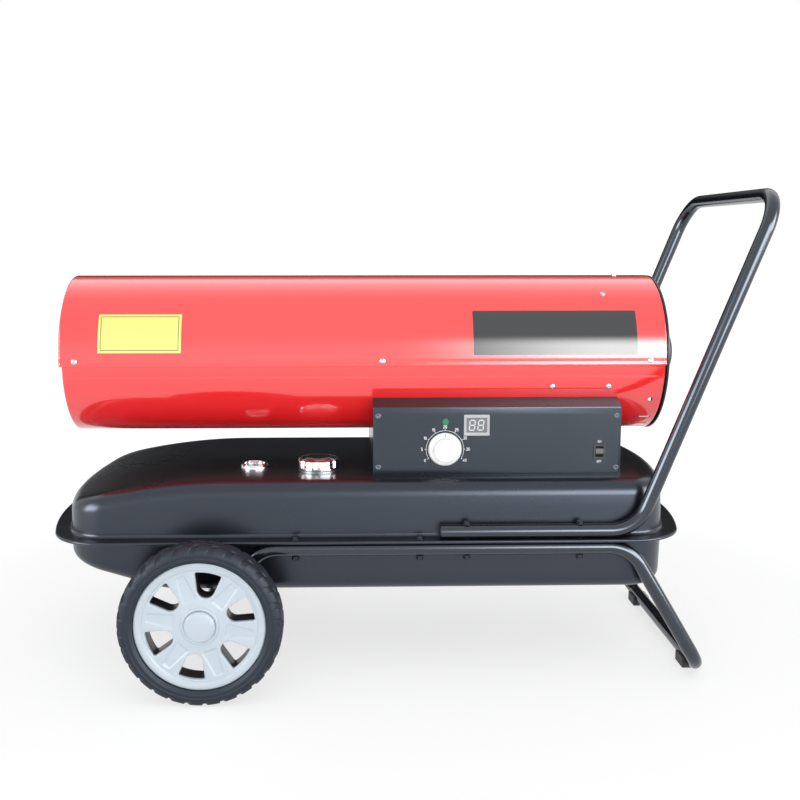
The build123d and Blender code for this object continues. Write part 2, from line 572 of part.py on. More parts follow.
# ---- control box ------------------------------------------------------------------------------
def box_section(t):
    """Cross section of the box, front to back, drawn in by the sheet `t` on walls and top."""
    y, z0, z1 = BOX_HY - t, BOX_Z0, BOX_Z1 - t
    points = [(-y, z0), (y, z0), (y, z1), (100, z1 + 17.5), (-100, z1 + 17.5), (-y, z1)]
    return make_face(Polyline(*points, close=True))


def box_prism(t, x0, x1):
    return Pos(x0, 0, 0) * (Plane.YZ * extrude(box_section(t), x1 - x0))


def control_housing():
    """Folded box between tank roof and barrel, saddled to the barrel, open behind the panel."""
    saddle = AXIS * xcyl(LOWER_R + SEAT, 0, 450)
    box = box_prism(0, BOX_X0, BOX_X1) - box_prism(SHEET, BOX_X0 + SHEET, BOX_X1 - SHEET)
    box -= saddle
    for x0, x1 in ((BOX_X0 + 0.6, BOX_X0 + 14), (BOX_X1 - 14, BOX_X1 - 0.6)):
        lip = box_prism(0.6, x0, x1) & (AXIS * xring(LOWER_R + SEAT + SHEET, LOWER_R + SEAT, x0, x1))
        box += lip + (box_prism(0.6, x0, x1) & block(x0, x1, -150, 150, BOX_Z0, BOX_Z0 + SHEET))
    box -= block(BOX_X0 + 14, BOX_X1 - 14, -160, -120, BOX_Z0 + 12, BOX_Z1 - 12)
    for x, z in PANEL_SCREWS:
        box -= ycyl(1.9, -160, -120, x, z)
    box -= xcyl(9.2, 400, 420, 60, 352)
    for k in range(6):
        box -= block(60 + 30 * k, 80 + 30 * k, 140, 150, 346, 350)
    return box


PANEL_SCREWS = ((20.7, 421.3), (20.8, 338.0), (403.5, 420.7), (404.5, 336.1))
LAMP_X, LAMP_Z = 128.5, 411.5
DISPLAY = (158.0, 199.3, 389.0, 423.0)
SWITCH = (367.7, 387.0, 350.7, 373.8)
BOARD_POSTS = ((150.0, 345.0), (150.0, 395.0), (300.0, 345.0), (300.0, 395.0))


def control_panel():
    plate = block(PANEL_X0, PANEL_X1, PANEL_Y, PANEL_Y - PANEL_T - 0.05, PANEL_Z0, PANEL_Z1)
    for x, z in PANEL_SCREWS:
        plate -= ycyl(1.9, -160, -120, x, z)
    plate -= ycyl(5.1, -160, -120, KNOB_X, KNOB_Z) + ycyl(4.1, -160, -120, LAMP_X, LAMP_Z)
    x0, x1, z0, z1 = DISPLAY
    plate -= block(x0 + 2, x1 - 2, -160, -120, z0 + 2, z1 - 2)
    x0, x1, z0, z1 = SWITCH
    plate -= block(x0 + 1, x1 - 1, -160, -120, z0 + 1, z1 - 1)
    return plate


def panel_screws():
    out = []
    for x, z in PANEL_SCREWS:
        screw = ycyl(3.6, PANEL_Y - 2.2, PANEL_Y - 0.02, x, z) + ycyl(1.75, PANEL_Y - 0.1, PANEL_Y + 9, x, z)
        screw -= block(x - 2, x + 2, PANEL_Y - 3, PANEL_Y - 1.2, z - 0.5, z + 0.5)
        screw -= block(x - 0.5, x + 0.5, PANEL_Y - 3, PANEL_Y - 1.2, z - 2, z + 2)
        out.append(screw)
    return Compound(children=out)


def thermostat():
    """Switch body behind the panel, with the threaded bush and its nut."""
    y = PANEL_Y - PANEL_T
    body = ycyl(17, y + 0.1, y + 26, KNOB_X, KNOB_Z) + ycyl(5, PANEL_Y - 3, y + 1, KNOB_X, KNOB_Z)
    nut = Pos(KNOB_X, PANEL_Y - 0.1, KNOB_Z) * Rot(90, 0, 0) * extrude(RegularPolygon(7.5, 6), 2.4)
    body += nut
    for dx in (-8, 0, 8):
        body += block(KNOB_X + dx - 2, KNOB_X + dx + 2, y + 26, y + 35, KNOB_Z - 0.4, KNOB_Z + 0.4)
    return body - ycyl(3.0 + RUN, -160, y + 14, KNOB_X, KNOB_Z)


def thermostat_shaft():
    return ycyl(3.0, PANEL_Y - 11, PANEL_Y + 13, KNOB_X, KNOB_Z) - block(
        KNOB_X - 5, KNOB_X + 5, PANEL_Y - 12, PANEL_Y - 3.2, KNOB_Z + 2, KNOB_Z + 5
    )


def knob():
    """Fluted grip on a wide skirt, hollow behind, with a D bore."""
    y = PANEL_Y - 0.6
    skirt = Pos(KNOB_X, y, KNOB_Z) * Rot(90, 0, 0) * Cone(27, 25.2, 4, align=(Align.CENTER, Align.CENTER, Align.MIN))
    outline = Circle(19.5)
    for k in range(18):
        outline -= Rot(0, 0, 20 * k) * Pos(20.6, 0) * Circle(2.0)
    grip = Pos(KNOB_X, y - 3.5, KNOB_Z) * Rot(90, 0, 0) * extrude(outline, 12.5)
    out = skirt + grip
    out -= ycyl(16.5, y - 4, y + 1, KNOB_X, KNOB_Z)
    out += ycyl(6, y - 5, y - 3.2, KNOB_X, KNOB_Z)
    bore = ycyl(3.05, y - 10.8, y + 1, KNOB_X, KNOB_Z)
    bore -= block(KNOB_X - 5, KNOB_X + 5, y - 12, y + 2, KNOB_Z + 2.05, KNOB_Z + 5)
    return out - bore


def power_lamp():
    lamp = ycyl(5.2, PANEL_Y - 1.6, PANEL_Y - 0.05, LAMP_X, LAMP_Z) + ycyl(4, PANEL_Y - 1, PANEL_Y + 12, LAMP_X, LAMP_Z)
    lamp += ycyl(3.6, PANEL_Y - 3.4, PANEL_Y - 1, LAMP_X, LAMP_Z)
    return lamp


def display_module():
    x0, x1, z0, z1 = DISPLAY
    bezel = block(x0, x1, PANEL_Y - 1.6, PANEL_Y - 0.05, z0, z1)
    bezel += block(x0 + 2.2, x1 - 2.2, PANEL_Y - 0.5, PANEL_Y + 10, z0 + 2.2, z1 - 2.2)
    return bezel - block(x0 + 4, x1 - 4, PANEL_Y - 3, PANEL_Y - 0.9, z0 + 5, z1 - 5)


def switch_body():
    x0, x1, z0, z1 = SWITCH
    body = block(x0, x1, PANEL_Y - 1.8, PANEL_Y - 0.05, z0, z1)
    body += block(x0 + 1.2, x1 - 1.2, PANEL_Y - 0.5, PANEL_Y + 16, z0 + 1.2, z1 - 1.2)
    body -= block(x0 + 3.2, x1 - 3.2, PANEL_Y - 6, PANEL_Y + 9, z0 + 3, z1 - 3)
    xm, zm = (x0 + x1) / 2, (z0 + z1) / 2
    return body - xcyl(1.3, x0 + 1.9, x1 - 1.9, PANEL_Y + 2.0, zm)


ROCKER_TILT = 12.0


def switch_rocker():
    """Tilting key on two small trunnions, at rest on its lower stop."""
    x0, x1, z0, z1 = SWITCH
    xm, zm = (x0 + x1) / 2, (z0 + z1) / 2
    half, width = (z1 - z0) / 2 - 3.9, (x1 - x0) / 2 - 3.5
    key = Curve() + Polyline((half, -4.6), (half, 1.5), (4, 4.5), (-4, 4.5), (-half, 1.5), (-half, -4.6))
    key += ThreePointArc((-half, -4.6), (0, -2.6), (half, -4.6))
    solid = extrude(Plane.YZ * Rot(0, 0, 90) * make_face(key), width, both=True)
    solid = solid + xcyl(1.2, -width - 1.2, width + 1.2)
    return Pos(xm, PANEL_Y + 2.0, zm) * Rot(-ROCKER_TILT, 0, 0) * solid


def circuit_board():
    """Control board on four posts behind the panel, with its larger parts."""
    y = PANEL_Y - PANEL_T
    board = block(142, 308, y + 22, y + 23.6, 337, 403)
    board -= block(140, 153.5, y + 20, y + 26, 350, 392)
    for x, z in BOARD_POSTS:
        board += ycyl(2.8, y + 0.1, y + 22.5, x, z)
    board += block(175, 200, y + 23.5, y + 40, 350, 372) + block(212, 228, y + 23.5, y + 38, 352, 368)
    board += ycyl(6, y + 23.5, y + 42, 245, 362) + ycyl(5, y + 23.5, y + 38, 262, 358)
    board += block(276, 300, y + 23.5, y + 34, 342, 350)
    return board


def ignition_transformer():
    """Potted coil block on the back wall of the box, with its two outlets."""
    back = BOX_HY - SHEET - 0.1
    coil = block(60, 130, back - 50, back, 334, 384)
    coil += block(52, 138, back - 2, back, 350, 368)
    coil += ycyl(5, back - 62, back - 49, 78, 360) + ycyl(5, back - 62, back - 49, 112, 360)
    return coil


def cord_gland():
    x = BOX_X1
    gland = xcyl(9, x - 10, x + 12, 60, 352) + xcyl(12.5, x + 0.1, x + 6, 60, 352)
    gland += Pos(x - SHEET - 5.2, 60, 352) * Rot(0, 90, 0) * extrude(RegularPolygon(13.0, 6), 5.1)
    return gland - xcyl(4.5, x - 20, x + 20, 60, 352)


# ---- frame, wheels ------------------------------------------------------------------------------
def handle():
    """One bent tube: two arms on the tank flange, risers and the cross grip."""
    side = [(116, HANDLE_Z), (CORNER_X, HANDLE_Z), (GRIP_X, GRIP_Z)]
    path = [(x, -TUBE_Y, z) for x, z in side] + [(x, TUBE_Y, z) for x, z in reversed(side)]
    bar = pipe(path, BEND, TUBE_R, TUBE_WALL)
    for y in (-TUBE_Y, TUBE_Y):
        bar += xcyl(TUBE_R - TUBE_WALL / 2, 116, 119, y, HANDLE_Z)
        for x in LONG_BOLTS:
            bar -= zcyl(3.2, HANDLE_Z - 20, HANDLE_Z + 20, x, y)
    return bar


def lower_frame():
    """One bent tube from axle to axle: rails under the flange, rear legs and the floor bar."""
    side = [(AXLE_X, AXLE_Z), (-160, FRAME_Z), (414, FRAME_Z), (BAR_X, BAR_Z)]
    path = [(x, -TUBE_Y, z) for x, z in side] + [(x, TUBE_Y, z) for x, z in reversed(side)]
    bar = pipe(path, [50, 60, 45, 45, 60, 50], TUBE_R, TUBE_WALL)
    for s in (-1, 1):
        bar += ycyl(14, s * (TUBE_Y - 13), s * (TUBE_Y + 13), AXLE_X, AXLE_Z)
        bar -= ycyl(AXLE_R + 0.1, s * (TUBE_Y - 20), s * (TUBE_Y + 20), AXLE_X, AXLE_Z)
        for x in SHORT_BOLTS + LONG_BOLTS:
            bar -= zcyl(3.2, FRAME_Z - 20, FRAME_Z + 20, x, s * TUBE_Y)
    return bar


def hex_head(z, height=4.0, across=10.0):
    return Pos(0, 0, z) * extrude(RegularPolygon(across / math.sqrt(3), 6), height)


def frame_bolts():
    out = []
    for y in (-TUBE_Y, TUBE_Y):
        for x in SHORT_BOLTS + LONG_BOLTS:
            top = (HANDLE_Z + TUBE_R if x in LONG_BOLTS else FLANGE_TOP) + 0.05
            bolt = hex_head(top + 1.2) + zcyl(6.0, top, top + 1.3) + zcyl(3.0, FRAME_Z - TUBE_R - 8, top + 1)
            out.append(Pos(x, y, 0) * bolt)
    return Compound(children=out)


def frame_nuts():
    out = []
    for y in (-TUBE_Y, TUBE_Y):
        for x in SHORT_BOLTS + LONG_BOLTS:
            nut = hex_head(FRAME_Z - TUBE_R - 6.3, 5.0) + zcyl(6.0, FRAME_Z - TUBE_R - 1.4, FRAME_Z - TUBE_R - 0.05)
            out.append(Pos(x, y, 0) * (nut - zcyl(3.05, 200, 230)))
    return Compound(children=out)


def foot_pads():
    out = []
    for y in (-142, 142):
        pad = block(BAR_X - 15, BAR_X + 15, y - 17, y + 17, 0, BAR_Z + 1)
        pad = chamfer(pad.edges().filter_by_position(Axis.Z, -0.1, 0.1), 2.0)
        out.append(pad - ycyl(TUBE_R + 0.1, y - 30, y + 30, BAR_X, BAR_Z))
    return Compound(children=out)


def axle():
    bar = ycyl(AXLE_R, -272.5, 272.5, AXLE_X, AXLE_Z)
    for y in (-270.4, 270.4):
        bar -= zcyl(1.3, AXLE_Z - 12, AXLE_Z + 12, AXLE_X, y)
    return bar


def axle_clips():
    """Spacers, washers and split pins on both ends of the axle."""
    out = []
    for s in (-1, 1):
        tube = yring(12, AXLE_R + RUN, s * 220.2 if s > 0 else -236.6, s * 236.6 if s > 0 else -220.2, AXLE_X, AXLE_Z)
        a, b = sorted((s * 267.15, s * 268.8))
        washer = yring(15, AXLE_R + RUN, a, b, AXLE_X, AXLE_Z)
        pin = zcyl(1.2, AXLE_Z - 13, AXLE_Z + 11, AXLE_X, s * 270.4) + zcyl(2.4, AXLE_Z + 10.5, AXLE_Z + 13.5, AXLE_X, s * 270.4)
        out += [tube, washer, pin]
    return Compound(children=out)


def turned(points):
    """Solid of revolution about Z from a closed outline of (r, w) points."""
    return revolve(Plane.XZ * make_face(Polyline(*points, close=True)), Axis.Z)


def tyre():
    half = TYRE_W / 2
    r0 = RIM_R + 0.25
    outline = [(r0, -21), (107, -half), (114, -half), (121, -22), (TYRE_R, -15), (TYRE_R, -7.5), (121.6, -7),
               (121.6, -4.5), (TYRE_R, -4), (TYRE_R, 4), (121.6, 4.5), (121.6, 7), (TYRE_R, 7.5), (TYRE_R, 15),
               (121, 22), (114, half), (107, half), (r0, 21)]
    return turned(outline)


def window(grow):
    """Rounded three-sided opening between two spokes of the wheel."""
    points = [(46.5 - grow, 9 + grow), (46.5 - grow, -9 - grow), (90, -23.8 - grow), (90, 23.8 + grow)]
    face = make_face(Polyline(*points, close=True)) & Circle(83.5 + grow)
    inner = [v for v in face.vertices() if v.X < 60]
    face = fillet(inner, 8.6 + grow)
    return fillet([v for v in face.vertices() if v.X > 75], 3.5 + grow)


def wheel():
    """Plastic wheel: rim, six windows with raised edges, and the hub."""
    body = turned([(92, -20), (RIM_R, -20), (RIM_R, 19), (88, 19), (88, 15), (92, 13)])
    body += turned([(88.5, 13), (88.5, 17.5), (80, 11), (50, 8), (29, 11), (29, 6), (50, 3.5), (80, 6.5)])
    body += turned([(0, -22), (29.5, -22), (29.5, 15), (27.5, 17), (0, 17)])
    for k in range(6):
        turn = Rot(0, 0, 20 + 60 * k)
        edge = turn * extrude(window(3.2) - window(0), 40)
        body += Pos(0, 0, 6) * (edge & zcyl(87.5, 0, 8.2))
        body -= Pos(0, 0, -30) * turn * extrude(window(0), 80)
        body += Rot(0, 0, 50 + 60 * k) * block(29, 93, -2, 2, -14, 8)
    body -= zcyl(20, 8, 30) + zcyl(AXLE_R + RUN, -30, 30)
    return body


def hub_cap():
    cap = Pos(0, 0, 17.05) * Cone(24.5, 21, 4.6, align=(Align.CENTER, Align.CENTER, Align.MIN))
    cap += zcyl(16, 21.6, 23.2)
    cap += zcyl(19.9, 14.5, 17.2) - zcyl(17.5, 10, 18)
    return cap


def put_left(piece):
    return Pos(AXLE_X, -WHEEL_Y, AXLE_Z) * Rot(90, 0, 0) * piece


def put_right(piece):
    return mirror(put_left(piece), about=Plane.XZ)


# ---- write every piece --------------------------------------------------------------------------
PIECES = {
    "upper_shell": upper_shell, "lower_shell": lower_shell, "shell_screws": shell_screws, "rear_guard": rear_guard,
    "combustion_chamber": combustion_chamber, "flame_deflector": flame_deflector, "burner_head": burner_head,
    "spray_nozzle": spray_nozzle, "igniter_electrodes": igniter_electrodes, "flame_sensor": flame_sensor,
    "overheat_switch": overheat_switch, "motor_mount": motor_mount, "motor_body": motor_body,
    "motor_shaft": motor_shaft, "fan": fan, "pump_body": pump_body, "pump_rotor": pump_rotor,
    "pump_end_cover": pump_end_cover, "pressure_screw": pressure_screw, "filter_cover": filter_cover,
    "air_filter": air_filter, "air_pipe": air_pipe, "fuel_pipe": fuel_pipe, "fuel_pickup": fuel_pickup,
    "tank_upper": tank_upper, "tank_lower": tank_lower, "filler_neck": filler_neck, "cap_gasket": cap_gasket,
    "fuel_cap": fuel_cap, "gauge_body": gauge_body, "gauge_pointer": gauge_pointer, "gauge_float": gauge_float,
    "gauge_lens": gauge_lens, "drain_plug": drain_plug, "control_housing": control_housing,
    "control_panel": control_panel, "panel_screws": panel_screws, "thermostat": thermostat,
    "thermostat_shaft": thermostat_shaft, "knob": knob, "power_lamp": power_lamp, "display_module": display_module,
    "switch_body": switch_body, "switch_rocker": switch_rocker, "circuit_board": circuit_board,
    "ignition_transformer": ignition_transformer, "cord_gland": cord_gland, "handle": handle,
    "lower_frame": lower_frame, "frame_bolts": frame_bolts, "frame_nuts": frame_nuts, "foot_pads": foot_pads,
    "axle": axle, "axle_clips": axle_clips,
}
for piece_name, make in PIECES.items():
    save(piece_name, make())
for side_name, put in (("left", put_left), ("right", put_right)):
    save("tyre_" + side_name, put(tyre()))
    save("wheel_" + side_name, put(wheel()))
    save("hub_cap_" + side_name, put(hub_cap()))
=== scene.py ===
# %% [markdown]
# # A portable forced air heater
# This notebook dresses an engineering model of a wheeled workshop heater. A long red barrel lies
# on a black control box and a stamped fuel tank, and a bent tube frame carries it all on two wheels.
# The engineering model is loaded first and never moved. Every finish and every finer mesh is then
# laid exactly over it, so the picture and the model always agree in size.

# %% Load the engineering model and note its size
import math

import bmesh
import bpy
import numpy as np
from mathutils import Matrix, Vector
from mathutils.geometry import delaunay_2d_cdt


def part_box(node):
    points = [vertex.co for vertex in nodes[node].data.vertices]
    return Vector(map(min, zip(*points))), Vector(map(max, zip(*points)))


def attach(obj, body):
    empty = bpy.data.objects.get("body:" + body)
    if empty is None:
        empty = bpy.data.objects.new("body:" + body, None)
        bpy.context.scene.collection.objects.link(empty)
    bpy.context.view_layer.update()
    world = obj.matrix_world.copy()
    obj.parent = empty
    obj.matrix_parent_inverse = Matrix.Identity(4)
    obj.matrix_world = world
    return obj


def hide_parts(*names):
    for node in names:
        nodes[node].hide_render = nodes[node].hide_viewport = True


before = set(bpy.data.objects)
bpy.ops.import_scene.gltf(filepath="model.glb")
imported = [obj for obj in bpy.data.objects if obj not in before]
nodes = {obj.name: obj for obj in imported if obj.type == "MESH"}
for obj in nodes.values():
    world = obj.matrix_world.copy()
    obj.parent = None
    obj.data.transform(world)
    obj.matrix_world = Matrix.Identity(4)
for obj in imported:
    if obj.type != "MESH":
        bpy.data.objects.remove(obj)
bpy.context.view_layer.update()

barrel_low, barrel_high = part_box("upper_shell")
BARREL_MID = (barrel_low[0] + barrel_high[0]) / 2

# %% [markdown]
# ## Units and meshes
# The heater is drawn in millimetres, measured from the middle of the barrel along X, from its
# centre plane across in Y, and from the ground up in Z. A *form* is a pair of such points and the
# faces between them. One helper turns a form into a Blender mesh in metres, sets its shading, and says
# which moving body carries it and which engineering piece it stands for. Keeping this in one place
# means a piece can't be forgotten half way.

# %% A helper that turns a form into a finished piece
MM = 0.001


def placed(name, data):
    """A new object of the scene for a mesh, a lamp or a camera."""
    obj = bpy.data.objects.new(name, data)
    bpy.context.scene.collection.objects.link(obj)
    return obj


def closed_mesh(name, form, weld=True):
    """The mesh of a form, in metres, with its faces turned outwards."""
    points, faces = form
    scaled = np.asarray(points, float) * MM + np.array([BARREL_MID, 0, 0])
    mesh = bpy.data.meshes.new(name)
    mesh.from_pydata([tuple(p) for p in scaled], [], [tuple(f) for f in faces])
    tidy = bmesh.new()
    tidy.from_mesh(mesh)
    if weld:
        bmesh.ops.remove_doubles(tidy, verts=tidy.verts, dist=1e-6)
    bmesh.ops.recalc_face_normals(tidy, faces=tidy.faces)
    tidy.to_mesh(mesh)
    tidy.free()
    return mesh


def piece(name, form, finish, body="frame", own=True, smooth=35):
    """Makes a visible piece; its `own` engineering piece, the one of the same name, gives way to it."""
    mesh = closed_mesh(name, form)
    mesh.shade_smooth()
    mesh.set_sharp_from_angle(angle=math.radians(smooth))
    mesh.materials.append(finish)
    obj = placed(name, mesh)
    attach(obj, body)
    if own:
        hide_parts(name)
    return obj


def printed(name, form, finish, body="frame"):
    """A thin or printed extra that has no engineering piece."""
    piece(name, form, finish, body, own=False, smooth=30)


def joined(forms):
    """Puts several forms into one."""
    points, faces, start = [], [], 0
    for form_points, form_faces in forms:
        points.append(np.asarray(form_points, float))
        faces += [tuple(start + i for i in face) for face in form_faces]
        start += len(form_points)
    return np.vstack(points), faces


# %% [markdown]
# ## Three ways to draw a form
# Nearly everything here was turned, bent or pressed. A *lathe* spins an outline about an axis, a
# circle is *swept* along a bent path, and a *skin* joins a stack of closed outlines with four-sided
# faces. These three cover the barrel, the tubes, the tyres and the stamped tank.


# %% Skin, lathe and sweep
def skin(rings, first=False, last=False):
    """Four-sided faces between successive rings of equally many points; either end can be closed."""
    count, faces = len(rings[0]), []
    for a in range(0, (len(rings) - 1) * count, count):
        b = a + count
        faces += [(a + i, a + (i + 1) % count, b + (i + 1) % count, b + i) for i in range(count)]
    if first:
        faces.append(tuple(range(count - 1, -1, -1)))
    if last:
        faces.append(tuple(range(b, b + count)))
    return np.vstack([np.asarray(r, float) for r in rings]), faces


def solid(rings):
    """The same with both ends closed."""
    return skin(rings, True, True)


def corners(u0, u1, v0, v1):
    """The four corners of a rectangle."""
    return np.array([(u0, v0), (u1, v0), (u1, v1), (u0, v1)])


def turned_by(points, degrees):
    """Flat points, turned about the origin."""
    a = math.radians(degrees)
    return points @ np.array([[math.cos(a), math.sin(a)], [-math.sin(a), math.cos(a)]])


def prism(outline, low, high):
    """An upright prism over an (x, y) outline."""
    return solid([[(x, y, z) for x, y in outline] for z in (low, high)])


def lathe(outline, steps, axis, centre=(0, 0, 0)):
    """Spins a closed (along, radius) outline once round an axis."""
    along, out = np.asarray(outline, float).T
    rings = []
    for a in np.radians(np.linspace(0, 360, steps, endpoint=False)):
        c, s = out * math.cos(a), out * math.sin(a)
        column = {"X": (along, c, s), "Y": (c, along, s), "Z": (c, s, along)}[axis]
        rings.append(np.stack(column, axis=1) + np.asarray(centre, float))
    return skin(rings + rings[:1])


def oval(cx, cy, rx, ry, a0=0, a1=360, steps=17):
    """Points (x, y) on a round or oval arc from a0 to a1 degrees."""
    return [(cx + rx * math.cos(a), cy + ry * math.sin(a)) for a in np.radians(np.linspace(a0, a1, steps))]


def full_turn(count):
    return np.linspace(0, 2 * math.pi, count, endpoint=False)


def stacked(levels, turn, centre, axis="Z"):
    """Loops from (radii, level) pairs round an upright "Z" or a lying "Y" axis."""
    rings = []
    for r, level in levels:
        across, up, along = centre[0] + r * np.cos(turn), centre[1] + r * np.sin(turn), 0 * turn + level
        rings.append(np.stack((across, up, along) if axis == "Z" else (across, along, up), axis=1))
    return rings


def unit(v):
    return v / np.linalg.norm(v)


def ramp(x):
    """0 below 0, 1 above 1, and x itself in between."""
    return min(1.0, max(0.0, x))


def rounded_path(spots, radii, step_deg=5):
    """Points along straight runs joined by arcs."""
    spots = [np.asarray(p, float) for p in spots]
    path = [spots[0]]
    for before, here, after, r in zip(spots, spots[1:], spots[2:], radii):
        into, away = unit(here - before), unit(after - here)
        turn = math.acos(max(-1, min(1, float(into @ away))))
        side = unit(away - into * float(into @ away))
        centre = here - into * r * math.tan(turn / 2) + side * r
        steps = int(math.degrees(turn) / step_deg) + 1
        for a in np.linspace(0, turn, steps + 1):
            path.append(centre - side * r * math.cos(a) + into * r * math.sin(a))
    return path + [spots[-1]]


def swept(stations, directions, up, sides):
    """Circles from (point, radius) stations along a path, carried on without twist."""
    turn, rings = full_turn(sides), []
    for (point, radius), t in zip(stations, directions):
        up = unit(up - t * float(up @ t))
        rings.append(point + radius * (np.outer(np.cos(turn), up) + np.outer(np.sin(turn), np.cross(t, up))))
    return solid(rings)


def rod(a, b, radius, sides):
    """A straight round bar."""
    a, b = np.asarray(a, float), np.asarray(b, float)
    t = unit(b - a)
    up = np.array([0, 0, 1.0]) if abs(t[2]) < 0.9 else np.array([1.0, 0, 0])
    return swept([(a, radius), (b, radius)], [t, t], up, sides)


print("drawing helpers ready")

# %% [markdown]
# ## Finishes as arithmetic
# A finish is a small network of nodes: noise, masks and colours that end in one surface shader.
# Wiring them by hand hides the idea, so a socket is wrapped in a small class that understands + -
# and *. An expression such as `1 - mask * 0.5` then adds the Math nodes by itself. Numbers use Math
# and vectors use Vector Math. Colours are only ever blended, with a Mix node, because a Math node
# would turn them grey.

# %% Sockets that can be calculated with
class Field:
    """A node's output that takes part in ordinary Python arithmetic."""

    def __init__(self, finish, socket):
        self.finish, self.socket = finish, socket

    def join(self, operation, other, reverse=False):
        first, second = (other, self) if reverse else (self, other)
        kind = "ShaderNodeVectorMath" if self.socket.type == "VECTOR" else "ShaderNodeMath"
        return self.finish.node(kind, {"operation": operation}, {0: first, 1: second})

    def clamped(self, low=0.0, high=1.0):
        return self.finish.node("ShaderNodeClamp", {}, {0: self, 1: low, 2: high})

    def between(self, low, high):
        """0 below `low`, 1 above `high`, smooth in between."""
        limits = {0: self, 1: low, 2: high, 3: 0.0, 4: 1.0}
        return self.finish.node("ShaderNodeMapRange", {"interpolation_type": "SMOOTHSTEP"}, limits)


for sign, operation in (("add", "ADD"), ("sub", "SUBTRACT"), ("mul", "MULTIPLY")):
    setattr(Field, f"__{sign}__", lambda a, b, op=operation: a.join(op, b))
    setattr(Field, f"__r{sign}__", lambda a, b, op=operation: a.join(op, b, reverse=True))


class Finish:
    """One material under construction."""

    def __init__(self, name):
        self.material = bpy.data.materials.new(name)
        self.material.use_nodes = True
        self.tree = self.material.node_tree
        self.surface = self.tree.nodes["Principled BSDF"]
        self.place = self.node("ShaderNodeTexCoord", {}, {}, "Object")

    def feed(self, socket, value):
        """Links a Field to the socket, or sets a plain value on it."""
        if isinstance(value, Field):
            self.tree.links.new(value.socket, socket)
        else:
            socket.default_value = (*value, 1.0) if socket.type == "RGBA" else value

    def node(self, kind, settings, inputs, output=0):
        """A new node with its settings and inputs; the Field is its chosen output."""
        made = self.tree.nodes.new(kind)
        for key, value in settings.items():
            if key == "stops":
                elements = made.color_ramp.elements
                while len(elements) < len(value):
                    elements.new(0.5)
                for element, (position, colour) in zip(elements, value):
                    element.position, element.color = position, (*colour, 1.0)
            else:
                setattr(made, key, value)
        for key, value in inputs.items():
            self.feed(made.inputs[key], value)
        return Field(self, made.outputs[output])

    def axis(self, name):
        return self.node("ShaderNodeSeparateXYZ", {}, {0: self.place}, name)

    def clouds(self, size, detail=3.0, rough=0.55, stretch=None):
        """Soft random field; `size` is the width of a cloud in millimetres."""
        where = self.place if stretch is None else self.place * stretch
        inputs = {"Vector": where, "Scale": 1000.0 / size, "Detail": detail, "Roughness": rough}
        return self.node("ShaderNodeTexNoise", {}, inputs)

    def mix(self, mask, first, second):
        settings = {"data_type": "RGBA", "blend_type": "MIX"}
        return self.node("ShaderNodeMix", settings, {0: mask, 6: first, 7: second}, 2)

    def relief(self, height, depth):
        """A bump of `depth` millimetres where height goes from 0 to 1."""
        return self.node("ShaderNodeBump", {}, {"Strength": 1.0, "Distance": depth * MM, "Height": height})

    def done(self, **values):
        for key, value in values.items():
            self.feed(self.surface.inputs[key.replace("_", " ")], value)
        return self.material


print("shader arithmetic ready")

# %% [markdown]
# ## Paints
# The barrel wears a wet-looking red enamel and the tank, frame and box wear black. Sprayed paint is
# never quite even: it has orange peel a few millimetres across, slow drifts in depth, a little dust
# where it lies level, and small rubbed spots. All of them are the same recipe with other numbers,
# so one function makes every paint.


# %% Enamel and powder paints
def sprayed(name, colour, rough=0.25, coat=0.0, peel=0.02, peel_size=5.0, drift=0.06, dust=0.1, specks=0.0,
            gloss=1.5, mirror=(1, 1, 1), shine=0.5):
    paint = Finish(name)
    slow = paint.clouds(180, 2.0)
    fine = paint.clouds(peel_size, 2.0)
    rubbed = paint.clouds(26, 5.0, 0.7).between(0.62, 0.72)
    normal = paint.node("ShaderNodeNewGeometry", {}, {}, "Normal")
    facing = paint.node("ShaderNodeSeparateXYZ", {}, {0: normal}, "Z")
    level = facing.between(0.55, 1.0) * paint.clouds(60, 4.0).between(0.35, 0.75)
    deep = [c * (1 - drift * 2) for c in colour]
    light = [min(1, c * (1 + drift) + drift * 0.02) for c in colour]
    shade = paint.mix(slow, deep, light)
    shade = paint.mix(level * dust, shade, (0.42, 0.40, 0.37))
    if specks:
        grains = paint.clouds(1.6, 1.0).between(0.60, 0.72)
        shade = paint.mix(grains * specks, shade, [min(1, c * 2.2 + 0.02) for c in colour])
    return paint.done(
        Base_Color=shade,
        Roughness=(rough + (slow - 0.5) * 0.08 + rubbed * 0.02 + level * dust * 0.8).clamped(0.05, 0.95),
        Coat_Weight=coat,
        Coat_Roughness=0.05,
        Coat_IOR=gloss,
        Specular_Tint=mirror,
        Specular_IOR_Level=shine,
        Normal=paint.relief(fine, peel),
    )


RED, BLACK = (0.92, 0.018, 0.020), (0.0045, 0.0055, 0.0085)
COOL, DEEP = (0.76, 0.86, 1.0), (0.58, 0.67, 0.83)
red_enamel = sprayed("red enamel", RED, rough=0.22, coat=1.0, peel=0.010, peel_size=8.0, drift=0.02,
                     dust=0.01, gloss=1.75)
black_enamel = sprayed("black enamel", BLACK, rough=0.28, peel=0.012, dust=0.015, mirror=DEEP, shine=1.0)
tube_enamel = sprayed("black tube enamel", BLACK, rough=0.16, peel=0.010, peel_size=3.0, dust=0.02,
                      mirror=COOL, shine=1.0)
box_powder = sprayed("slate powder coat", (0.006, 0.009, 0.014), rough=0.24, peel=0.012, peel_size=1.3,
                     dust=0.02, specks=0.2, mirror=COOL, shine=0.75)
bolt_black = sprayed("blackened steel", (0.009, 0.010, 0.013), rough=0.32, peel=0.008, peel_size=1.0,
                     mirror=COOL)
screw_black = sprayed("screw black", (0.075, 0.082, 0.092), rough=0.30, peel=0.004, peel_size=1.0,
                      mirror=COOL, shine=1.0)
